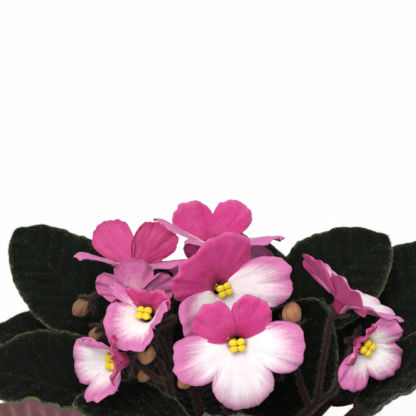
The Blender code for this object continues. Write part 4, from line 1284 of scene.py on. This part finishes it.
def flower_axes(bearing, elevation, roll):
    """Right, up and facing of a flower, as the rows of a matrix."""
    b, e, r = radians(bearing), radians(elevation), radians(roll)
    facing = np.array((sin(b) * cos(e), -cos(b) * cos(e), sin(e)))
    level = np.array((cos(b), sin(b), 0.0))
    upright = np.cross(facing, level)
    return np.array((level * cos(r) + upright * sin(r), upright * cos(r) - level * sin(r),
                     facing))


def arc(distance, length, rise, curl):
    """Along an arc that leaves at an angle and turns by curl over its length: out and up."""
    start, turn = np.radians(rise), np.radians(curl) * distance / length
    radius = length / np.radians(curl)
    return (radius * (np.sin(start + turn) - np.sin(start)),
            radius * (np.cos(start) - np.cos(start + turn)))


def mirrored(mask):
    """A mask of the front of a lobe, carried over to its back."""
    return np.concatenate([mask, mask[:, ::-1]], axis=1)


def lobe_rim(lobe, number, t, rng):
    """Bearing and radius of a lobe's rim at shares t of its width."""
    starts = OWN_STARTS.get(number, LOBE_STARTS)
    before, past = LOBE_SPREADS[lobe]
    first = starts[lobe] - before
    last = starts[lobe + 1] + past
    if lobe == 0:
        last += OWN_OVERLAPS.get(number, 0.0)
    heel = LOBE_HEELS[lobe] + t * (LOBE_HEELS[lobe + 1] - LOBE_HEELS[lobe])
    outline = np.sqrt(np.clip(1 - np.abs(2 * t - 1) ** LOBE_SQUARENESS, 0.0, 1.0))
    rim = heel + (LOBE_LENGTHS[lobe] * (0.98 + 0.04 * rng.random()) - heel) * outline
    ragged = (RIM_WAVE * waves(rng, t * 60, 0 * t, 26.0, 8.0)
              + RIM_TEETH * waves(rng, t * 60, 0 * t, 6.0, 2.6))
    return first + t * (last - first), rim * (1 + ragged)


def lobe_sheet(lobe, number, bearing, rim, share, depth):
    """Middle surface of a lobe, over its share outward, and of its part of the tube."""
    scale, up_scale, up_rise, up_curl, right, lower, left, curl = FLOWERS[number][4:]
    c, s = np.cos(np.radians(bearing)), np.sin(np.radians(bearing))
    if lobe < UPPER_LOBES:
        length = (rim * up_scale - THROAT_RADIUS) * share
        forward, z = arc(length * np.maximum(s, 0.0), UPPER_CURL_LENGTH, up_rise, up_curl)
        x, y = (THROAT_RADIUS + length) * c, THROAT_RADIUS * s + forward
    else:
        turn = np.where(bearing > 90, bearing, bearing + 360)
        rise = np.where(turn < 270, left + (lower - left) * blend(turn, *LEFT_BLEND),
                        lower + (right - lower) * blend(turn, *RIGHT_BLEND))
        reach = np.maximum(rim * scale, THROAT_RADIUS + 2.0) - THROAT_RADIUS
        out, z = arc(reach * share, LOWER_CURL_LENGTH, rise, curl)
        x, y = (THROAT_RADIUS + out) * c, (THROAT_RADIUS + out) * s
    taper = (THROAT_RADIUS - TUBE_FOOT_RADIUS) / TUBE_LENGTH
    return np.stack([x - taper * depth * c, y - taper * depth * s, z - depth], axis=2)


def ease_throat(sheet, last, rounds=5):
    """Rounds the turn from the tube into the lobe, up to a last row."""
    for _ in range(rounds):
        sheet[3:last] = (0.25 * sheet[2:last - 1] + 0.5 * sheet[3:last]
                         + 0.25 * sheet[4:last + 1])


def sheet_normal(sheet):
    """Directions square to a sheet at each of its points."""
    return unit(np.cross(np.gradient(sheet, axis=0), np.gradient(sheet, axis=1)))


def lobe_relief(lobe, t, bearing, share, ruffle, rng):
    """How far a lobe stands off its middle surface: ruffled rim, pillow, furrows and creases."""
    turn = np.radians(bearing)
    shift = rng.random(len(RUFFLES)) * 2 * pi
    wave = sum(high * np.sin(turn * count + start)
               for (high, count), start in zip(RUFFLES, shift))
    across = 2 * t - 1
    pillow = PILLOW_HEIGHT * 4 * share * (1 - share) * (1 - across ** 2)
    roll_back = ROLLED_RIM * np.clip((share - ROLL_START) / (1 - ROLL_START), 0.0, 1.0) ** 2
    furrow = FURROW_DEPTH * np.cos(across * 3 * pi) * blend(share, 0.1, 0.4) * (1 - share)
    layer = LOBE_LAYERS[lobe] * (0.35 + 0.65 * blend(share, 0.0, 0.5))
    crease = CREASE_HEIGHT * waves(rng, t * 16, share * 18, 8.0, 2.6) * blend(share, 0.1, 0.45)
    return ruffle * share ** 2.2 * wave + pillow - roll_back + furrow + layer + crease


def lobe_masks(lobe, number, t, share, depth):
    """Where a lobe is front and back, near the throat, streaked and blushed."""
    wide = np.ones((share.shape[0], t.shape[1]))
    near = np.maximum(1 - blend(share, 0.0, 0.07), depth > 0)
    first, last = LOBE_BLUSH[lobe]
    return {
        "share": mirrored(share * wide),
        "around": mirrored(t * wide) + LOBE_STREAKS * lobe + FLOWER_STREAKS * int(number),
        "upper": float(lobe < UPPER_LOBES),
        # painted shade: the flower's shade tone for this lobe
        "shade_tone": SHADE_TONES[number][lobe == 1],
        "blush": mirrored((first + t * (last - first)) * wide) - BLUSH_SHIFTS.get(number, 0.0),
        "throat": mirrored(near * wide) * (0.9 if lobe < UPPER_LOBES else 0.5),
        "under": np.concatenate([0 * wide, wide], axis=1),
    }


def lobe_grid(lobe, number, thickness, ruffle, across=54, tube_rows=7, rows=34):
    """One lobe of a corolla with its part of the tube, as loops from the tube to the rim."""
    rng = np.random.default_rng(1000 + 10 * int(number) + lobe)
    even = np.linspace(0.0, 1.0, across)
    t = (0.55 * (0.5 - 0.5 * np.cos(pi * even)) + 0.45 * even)[None, :]
    bearing, rim = lobe_rim(lobe, number, t, rng)
    outward = 1 - (1 - np.linspace(0.0, 1.0, rows)) ** 1.25
    share = np.concatenate([np.zeros(tube_rows), outward])[:, None]
    depth = np.concatenate([np.linspace(TUBE_LENGTH, 0.4, tube_rows), np.zeros(rows)])[:, None]
    sheet = lobe_sheet(lobe, number, bearing, rim, share, depth)
    ease_throat(sheet, tube_rows + 7)
    relief = lobe_relief(lobe, t, bearing, share, ruffle, rng)
    sheet = sheet + sheet_normal(sheet) * relief[..., None]
    flank = np.clip(1 - np.abs(2 * t - 1) ** 14, 0.1, 1.0)
    thick = 0.5 * thickness * np.clip(1 - share ** 24, 0.0, 1.0) * flank
    half = sheet_normal(sheet) * thick[..., None]
    grid = np.concatenate([sheet + half, (sheet - half)[:, ::-1]], axis=1)
    return grid, lobe_masks(lobe, number, t, share, depth)


def onto_flower(number, grid):
    """A grid of a flower's own axes, put where the flower is."""
    origin, bearing, elevation, roll, *_ = FLOWERS[number]
    return np.array(origin, dtype=float) + grid @ flower_axes(bearing, elevation, roll)


class VIOLET_OT_flowers(bpy.types.Operator):
    """Builds the open flowers: corolla, stamens and pistil of each"""
    bl_idname = "violet.add_flowers"
    bl_label = "Add flowers"

    def execute(self, context):
        settings = context.scene.violet_flower
        for number in FLOWERS:
            self.add_corolla(number, settings)
            self.add_stamens(number)
            self.add_pistil(number)
        return {"FINISHED"}

    def add_corolla(self, number, settings):
        """Five lobes that share a tube."""
        skin = Skin(("share", "around", "upper", "shade_tone", "blush", "throat", "under"))
        for lobe in range(len(LOBE_LENGTHS)):
            grid, masks = lobe_grid(lobe, number, settings.thickness / MM, settings.ruffle / MM)
            skin.add(onto_flower(number, grid), **masks)
        place(f"corolla_{number}_petals", skin.mesh(f"corolla_{number}_petals"),
              finish_of("petal"), f"corolla_{number}")

    def add_stamens(self, number):
        """Two plump anthers of two sacs each, on two short filaments and a common foot."""
        height, apart, radii = YOUNG_ANTHERS if number in YOUNG_FLOWERS else ANTHERS
        skin = Skin(("fold", "stem"))
        low = -TUBE_LENGTH + 0.6
        foot = ball_grid((1.0, -0.55, low), (0.85, 0.85, 0.6))
        skin.add(onto_flower(number, foot), stem=1.0)
        for side in (-1, 1):
            path = smooth_path(((1.0 + 0.25 * side, -0.55, low),
                                (0.6 + 0.6 * side, -0.7, 0.6 * height - 2.0),
                                (apart * side, -0.8, height - 0.4)), 6)
            filament = tube_grid(path, np.full(len(path), FILAMENT_RADIUS), 10)
            skin.add(onto_flower(number, filament), stem=1.0)
            for sac in (-1, 1):
                centre = (apart * side, -0.9 + 0.46 * sac * radii[1], height)
                grid, fold = self.sac_grid(centre, radii, side, sac)
                skin.add(onto_flower(number, grid), fold=fold)
        place(f"stamens_{number}_anthers", skin.mesh(f"stamens_{number}_anthers"),
              finish_of("anther"), f"stamens_{number}")

    def sac_grid(self, centre, radii, side, sac):
        """One pollen sac with the seam down its front, and the mask of its folds."""
        turn = radians(14 * side * sac)
        axes = ((cos(turn), sin(turn), 0), (-sin(turn), cos(turn), 0), (0, 0, 1))
        grid = ball_grid(centre, (radii[0], 0.56 * radii[1], radii[2]), axes, 18, 24)
        off = grid - np.array(centre)
        seam = np.exp(-(off[..., 1] / 0.16) ** 2) * (off[..., 2] > 0)
        inner = np.exp(-((off[..., 1] + sac * radii[1] * 0.5) / 0.4) ** 2)
        grid = grid - 0.12 * seam[..., None] * unit(off)
        return grid, np.clip(0.8 * seam + inner, 0, 1)

    def add_pistil(self, number):
        """The ovary in the tube, with a style that reaches out of an open flower."""
        reach = 0.0 if number in YOUNG_FLOWERS else 1.0
        skin = Skin(("stem",))
        skin.add(onto_flower(number, ball_grid((-0.9, 0.6, -TUBE_LENGTH + 2.2), OVARY_RADII)))
        end = (-1.4 - 1.4 * reach, 1.1 + 1.1 * reach, 0.6 + 3.8 * reach)
        path = smooth_path(((-1.05, 0.75, -1.5),
                            (-1.2 - 0.5 * reach, 0.9 + 0.5 * reach, -0.4 + 2.0 * reach), end), 8)
        style = tube_grid(path, np.linspace(*STYLE_RADII, len(path)), 10)
        skin.add(onto_flower(number, style), stem=1.0)
        skin.add(onto_flower(number, ball_grid(end, STIGMA_RADII)), stem=0.6)
        place(f"pistil_{number}_style", skin.mesh(f"pistil_{number}_style"),
              finish_of("pistil"), f"pistil_{number}")


# Buds and flower stalks


def bud_axes(direction):
    """Side, up and facing of a bud, as the rows of a matrix."""
    facing = Vector(direction).normalized()
    side = facing.orthogonal().normalized()
    return np.array([tuple(v) for v in (side, facing.cross(side), facing)])


class VIOLET_OT_buds(bpy.types.Operator):
    """Builds the closed buds with their folded lobes"""
    bl_idname = "violet.add_buds"
    bl_label = "Add buds"

    def execute(self, context):
        for name, (base, direction, length, radius) in BUDS.items():
            local = ball_grid((0, 0, 0), (1.0, 1.0, 1.0), None, *BUD_GRID)
            height = local[..., 2]
            turn = np.arctan2(local[..., 1], local[..., 0]) + BUD_TWIST * height
            fold = 1 - np.abs(np.cos(0.5 * BUD_LOBES * turn)) ** 0.5
            swell = 1 - BUD_FOLD_DEPTH * fold * blend(height, -0.9, 0.2) - 0.04
            pinch = 1 - BUD_PINCH * blend(height, 0.35, 1.0)
            local[..., :2] *= (radius * swell * pinch)[..., None]
            local[..., 2] = 0.5 * length * (1 + height)
            grid = np.array(base, dtype=float) + local @ bud_axes(direction)
            skin = Skin(("fold", "tip", "green"))
            skin.add(grid, fold=np.clip(fold * 1.3, 0, 1), tip=blend(height, 0.2, 1.0),
                     green=BUD_GREENS.get(name, 0.0))
            place(f"{name}_lobes", skin.mesh(f"{name}_lobes"), finish_of("bud"), name)
        return {"FINISHED"}


def seat_of(carried):
    """Where a stalk ends under a flower or bud: point, axes, receptacle radius, sepal rise."""
    if carried in BUDS:
        base, direction, *_ = BUDS[carried]
        axes = bud_axes(direction)
        return np.array(base, dtype=float) - axes[2] * SEAT_GAP, axes, BUD_RECEPTACLE_RADIUS, 44
    origin, bearing, elevation, roll, *_ = FLOWERS[carried]
    axes = flower_axes(bearing, elevation, roll)
    seat = np.array(origin, dtype=float) - axes[2] * (TUBE_LENGTH + SEAT_GAP)
    return seat, axes, RECEPTACLE_RADIUS, 30


def sepal_grid(seat, axes, radius, rise, length, angle, rng):
    """A lance-shaped sepal from the edge of the receptacle, hollow along its middle."""
    rows, across = 16, 9
    share = np.linspace(0.0, 1.0, rows)
    slope = np.radians(rise * (0.55 + 0.9 * share) + rng.normal(0, 5))
    step = length / (rows - 1)
    out = radius * 0.7 + np.concatenate([[0], np.cumsum(np.cos(slope[1:]) * step)])
    up = -0.25 + np.concatenate([[0], np.cumsum(np.sin(slope[1:]) * step)])
    half = (0.42 * radius) * np.sin(pi * (0.3 + 0.7 * share) ** 0.9) ** 0.8 + 0.06
    span = np.linspace(1.0, -1.0, across)
    span = np.concatenate([span, span[::-1]])
    side = np.concatenate([np.ones(across), -np.ones(across)])
    thick = (SEPAL_HALF_THICKNESS * side * np.sqrt(np.clip(1 - span ** 2, 0.02, 1))
             * (1 - 0.6 * share[:, None]))
    rise_across = 0.35 * span ** 2 * half[:, None] + thick
    turn = radians(angle)
    radial = axes[0] * cos(turn) + axes[1] * sin(turn)
    sideways = axes[1] * cos(turn) - axes[0] * sin(turn)
    lean = np.cos(slope)[:, None, None] * axes[2] - np.sin(slope)[:, None, None] * radial
    return (seat + out[:, None, None] * radial + up[:, None, None] * axes[2]
            + (half[:, None] * span)[..., None] * sideways + rise_across[..., None] * lean)


class VIOLET_OT_stalks(bpy.types.Operator):
    """Builds the flower stalks with their branches, receptacles, sepals and young buds"""
    bl_idname = "violet.add_stalks"
    bl_label = "Add flower stalks"

    def execute(self, context):
        settings = context.scene.violet_stalk
        for index, (name, stalk) in enumerate(STALKS.items()):
            rng = np.random.default_rng(300 + index)
            grids = self.stalk_grids(stalk, rng)
            skin = Skin(("sepal",))
            for grid, sepal, _ in grids:
                skin.add(grid, sepal=sepal)
            place(f"{name}_stem", skin.mesh(f"{name}_stem"), finish_of("stalk"),
                  name)
            self.add_hairs(name, grids, settings, rng)
        return {"FINISHED"}

    def stalk_grids(self, stalk, rng):
        """(grid, sepal mask, hair share) of every limb of a stalk."""
        angle = radians(stalk["bearing"])
        foot = Vector((cos(angle), sin(angle), 0)) * STALK_RING_RADIUS
        foot.z = CROWN_HIGH[1] + SEAT_GAP
        stem = [foot, *smooth_path((foot + Vector((0, 0, 2)), *stalk["stem"]), 9)]
        radii = np.linspace(PEDUNCLE_RADIUS, 0.8 * PEDUNCLE_RADIUS, len(stem))
        grids = [(tube_grid(stem, radii, 16), 0.0, 1.0)]
        for fraction, way, carried in stalk["branches"]:
            grids.extend(self.branch_grids(along(stem, fraction), way, carried, rng))
        for fraction, way, end in stalk["young_buds"]:
            path = smooth_path((along(stem, fraction), *way, end), 6)
            grids.append((tube_grid(path, np.full(len(path), PEDICEL_RADIUS), 12), 0.0, 1.0))
            grids.append((ball_grid(end, YOUNG_BUD), 1.0, 1.0))
        return grids

    def branch_grids(self, joint, way, carried, rng):
        """A branch from its joint to the flower or bud that it carries, with its sepals."""
        seat, axes, radius, rise = seat_of(carried)
        neck = Vector(seat - axes[2] * 0.35)
        path = smooth_path((joint, *way, neck - Vector(axes[2]) * 3.5, neck), 7)
        swell = np.exp(-np.arange(len(path)) / 2.0) * 0.4
        radii = np.linspace(PEDICEL_RADIUS, 1.1 * PEDICEL_RADIUS, len(path)) + swell
        flare = radius / RECEPTACLE_RADIUS
        cup = [(out * flare if out > RECEPTACLE_NECK else out, height)
               for out, height in RECEPTACLE]
        grids = [(tube_grid(path, radii, 12), 0.0, 1.0),
                 (seat + turned_grid(cup, 24) @ axes, 0.6, 0.6)]
        length = SEPAL_LENGTH + 1.0 if carried in FLOWERS else 0.62 * BUDS[carried][2]
        for k in range(SEPALS):
            reach = length * (0.92 + 0.16 * rng.random())
            bearing = 360 / SEPALS * (k + 0.5)
            grids.append((sepal_grid(seat, axes, radius, rise, reach, bearing, rng), 1.0, 0.8))
        return grids

    def add_hairs(self, name, grids, settings, rng):
        """Hairs all over a stalk, pointing away from the middle of each limb."""
        roots, ways, lengths = [], [], []
        for grid, _, share in grids:
            ring = np.linalg.norm(np.diff(grid, axis=0), axis=2).mean(axis=1).sum()
            count = int(settings.hairs * ring * share * (1.0))
            points, normals, rows = scatter(grid, max(count, 4), rng)
            middle = grid.mean(axis=1)
            near = np.linalg.norm(points[:, None] - middle[None], axis=2).argmin(axis=1)
            outward = np.sign(np.sum(normals * (points - middle[near]), axis=1, keepdims=True))
            roots.append(points)
            ways.append(spread_ways(rng, normals * outward, 0.1 * rows, 0.3))
            random = 0.5 + 0.8 * rng.random(len(points))
            lengths.append(settings.hair_length / MM * share * random)
        mesh = hair_mesh(f"{name}_hairs", np.concatenate(roots), np.concatenate(ways),
                         np.concatenate(lengths), STALK_HAIR_RADIUS)
        place(f"{name}_hairs", mesh, finish_of("stalk_hairs"))


# Stage


class VIOLET_OT_stage(bpy.types.Operator):
    """Sets the pale floor, the soft light and the camera"""
    bl_idname = "violet.add_stage"
    bl_label = "Add stage"

    def execute(self, context):
        settings, scene = context.scene.violet_stage, context.scene
        self.add_floor(scene)
        self.add_light(scene, settings)
        self.add_camera(scene, settings)
        scene.view_settings.view_transform = "Standard"
        return {"FINISHED"}

    def add_floor(self, scene):
        """A wide plain floor that runs far back."""
        near, far, aside = -4.0, 14.0, 9.0  # in metres
        mesh = bpy.data.meshes.new("floor")
        corners = [(-aside, near, 0), (aside, near, 0), (aside, far, 0), (-aside, far, 0)]
        mesh.from_pydata(corners, [], [(0, 1, 2, 3)])
        mesh.materials.append(finish_of("floor"))
        floor = bpy.data.objects.new("floor", mesh)
        scene.collection.objects.link(floor)

    def add_light(self, scene, settings):
        """Even light all round, and one broad lamp in front."""
        world = bpy.data.worlds.new("soft_light")
        world.use_nodes = True
        sky = world.node_tree.nodes["Background"]
        sky.inputs["Color"].default_value = (1.0, 1.0, 1.0, 1.0)
        sky.inputs["Strength"].default_value = settings.sky
        scene.world = world
        sun = bpy.data.lights.new("key", "SUN")
        sun.energy, sun.angle = settings.lamp, settings.softness
        lamp = bpy.data.objects.new("key", sun)
        lamp.rotation_euler = Vector(settings.lamp_way).to_track_quat("-Z", "Y").to_euler()
        scene.collection.objects.link(lamp)

    def add_camera(self, scene, settings):
        """The camera, looking a little down on the flowers."""
        camera = bpy.data.cameras.new("camera")
        camera.lens = settings.lens
        camera.clip_start, camera.clip_end = 0.01, 40.0
        eye = bpy.data.objects.new("camera", camera)
        aim, tilt = Vector(settings.aim), settings.elevation
        eye.location = aim + settings.distance * Vector((0.0, -cos(tilt), sin(tilt)))
        eye.rotation_euler = (aim - eye.location).to_track_quat("-Z", "Y").to_euler()
        scene.collection.objects.link(eye)
        scene.camera = eye


class VIOLET_PT_panel(bpy.types.Panel):
    """Lists the pieces that can be added"""
    bl_idname = "VIOLET_PT_panel"
    bl_label = "African Violet"
    bl_space_type = "VIEW_3D"
    bl_region_type = "UI"
    bl_category = "Violet"

    def draw(self, context):
        for operator in OPERATORS:
            self.layout.operator(operator.bl_idname)
        for name, group in SETTINGS.items():
            box = self.layout.box()
            box.label(text=name.split("_")[1].title())
            for key in group.__annotations__:
                box.prop(getattr(context.scene, name), key)


OPERATORS = (
    VIOLET_OT_pot, VIOLET_OT_mix, VIOLET_OT_crown, VIOLET_OT_leaves, VIOLET_OT_stalks,
    VIOLET_OT_flowers, VIOLET_OT_buds, VIOLET_OT_stage,
)
SETTINGS = {
    "violet_pot": VIOLET_PG_pot, "violet_leaf": VIOLET_PG_leaf,
    "violet_flower": VIOLET_PG_flower, "violet_stalk": VIOLET_PG_stalk,
    "violet_stage": VIOLET_PG_stage,
}


def register():
    """Registers every class and hangs the settings on the scene."""
    for group in SETTINGS.values():
        bpy.utils.register_class(group)
    for operator in OPERATORS:
        bpy.utils.register_class(operator)
    bpy.utils.register_class(VIOLET_PT_panel)
    for name, group in SETTINGS.items():
        setattr(bpy.types.Scene, name, PointerProperty(type=group))


def unregister():
    """Takes back what register did."""
    for name in SETTINGS:
        delattr(bpy.types.Scene, name)
    bpy.utils.unregister_class(VIOLET_PT_panel)
    for kind in (*reversed(OPERATORS), *reversed(SETTINGS.values())):
        bpy.utils.unregister_class(kind)


def main():
    """Builds every piece."""
    register()
    bpy.ops.violet.add_pot()
    bpy.ops.violet.add_potting_mix()
    bpy.ops.violet.add_crown()
    bpy.ops.violet.add_leaves()
    bpy.ops.violet.add_stalks()
    bpy.ops.violet.add_flowers()
    bpy.ops.violet.add_buds()
    bpy.ops.violet.add_stage()


if __name__ == "__main__":
    main()
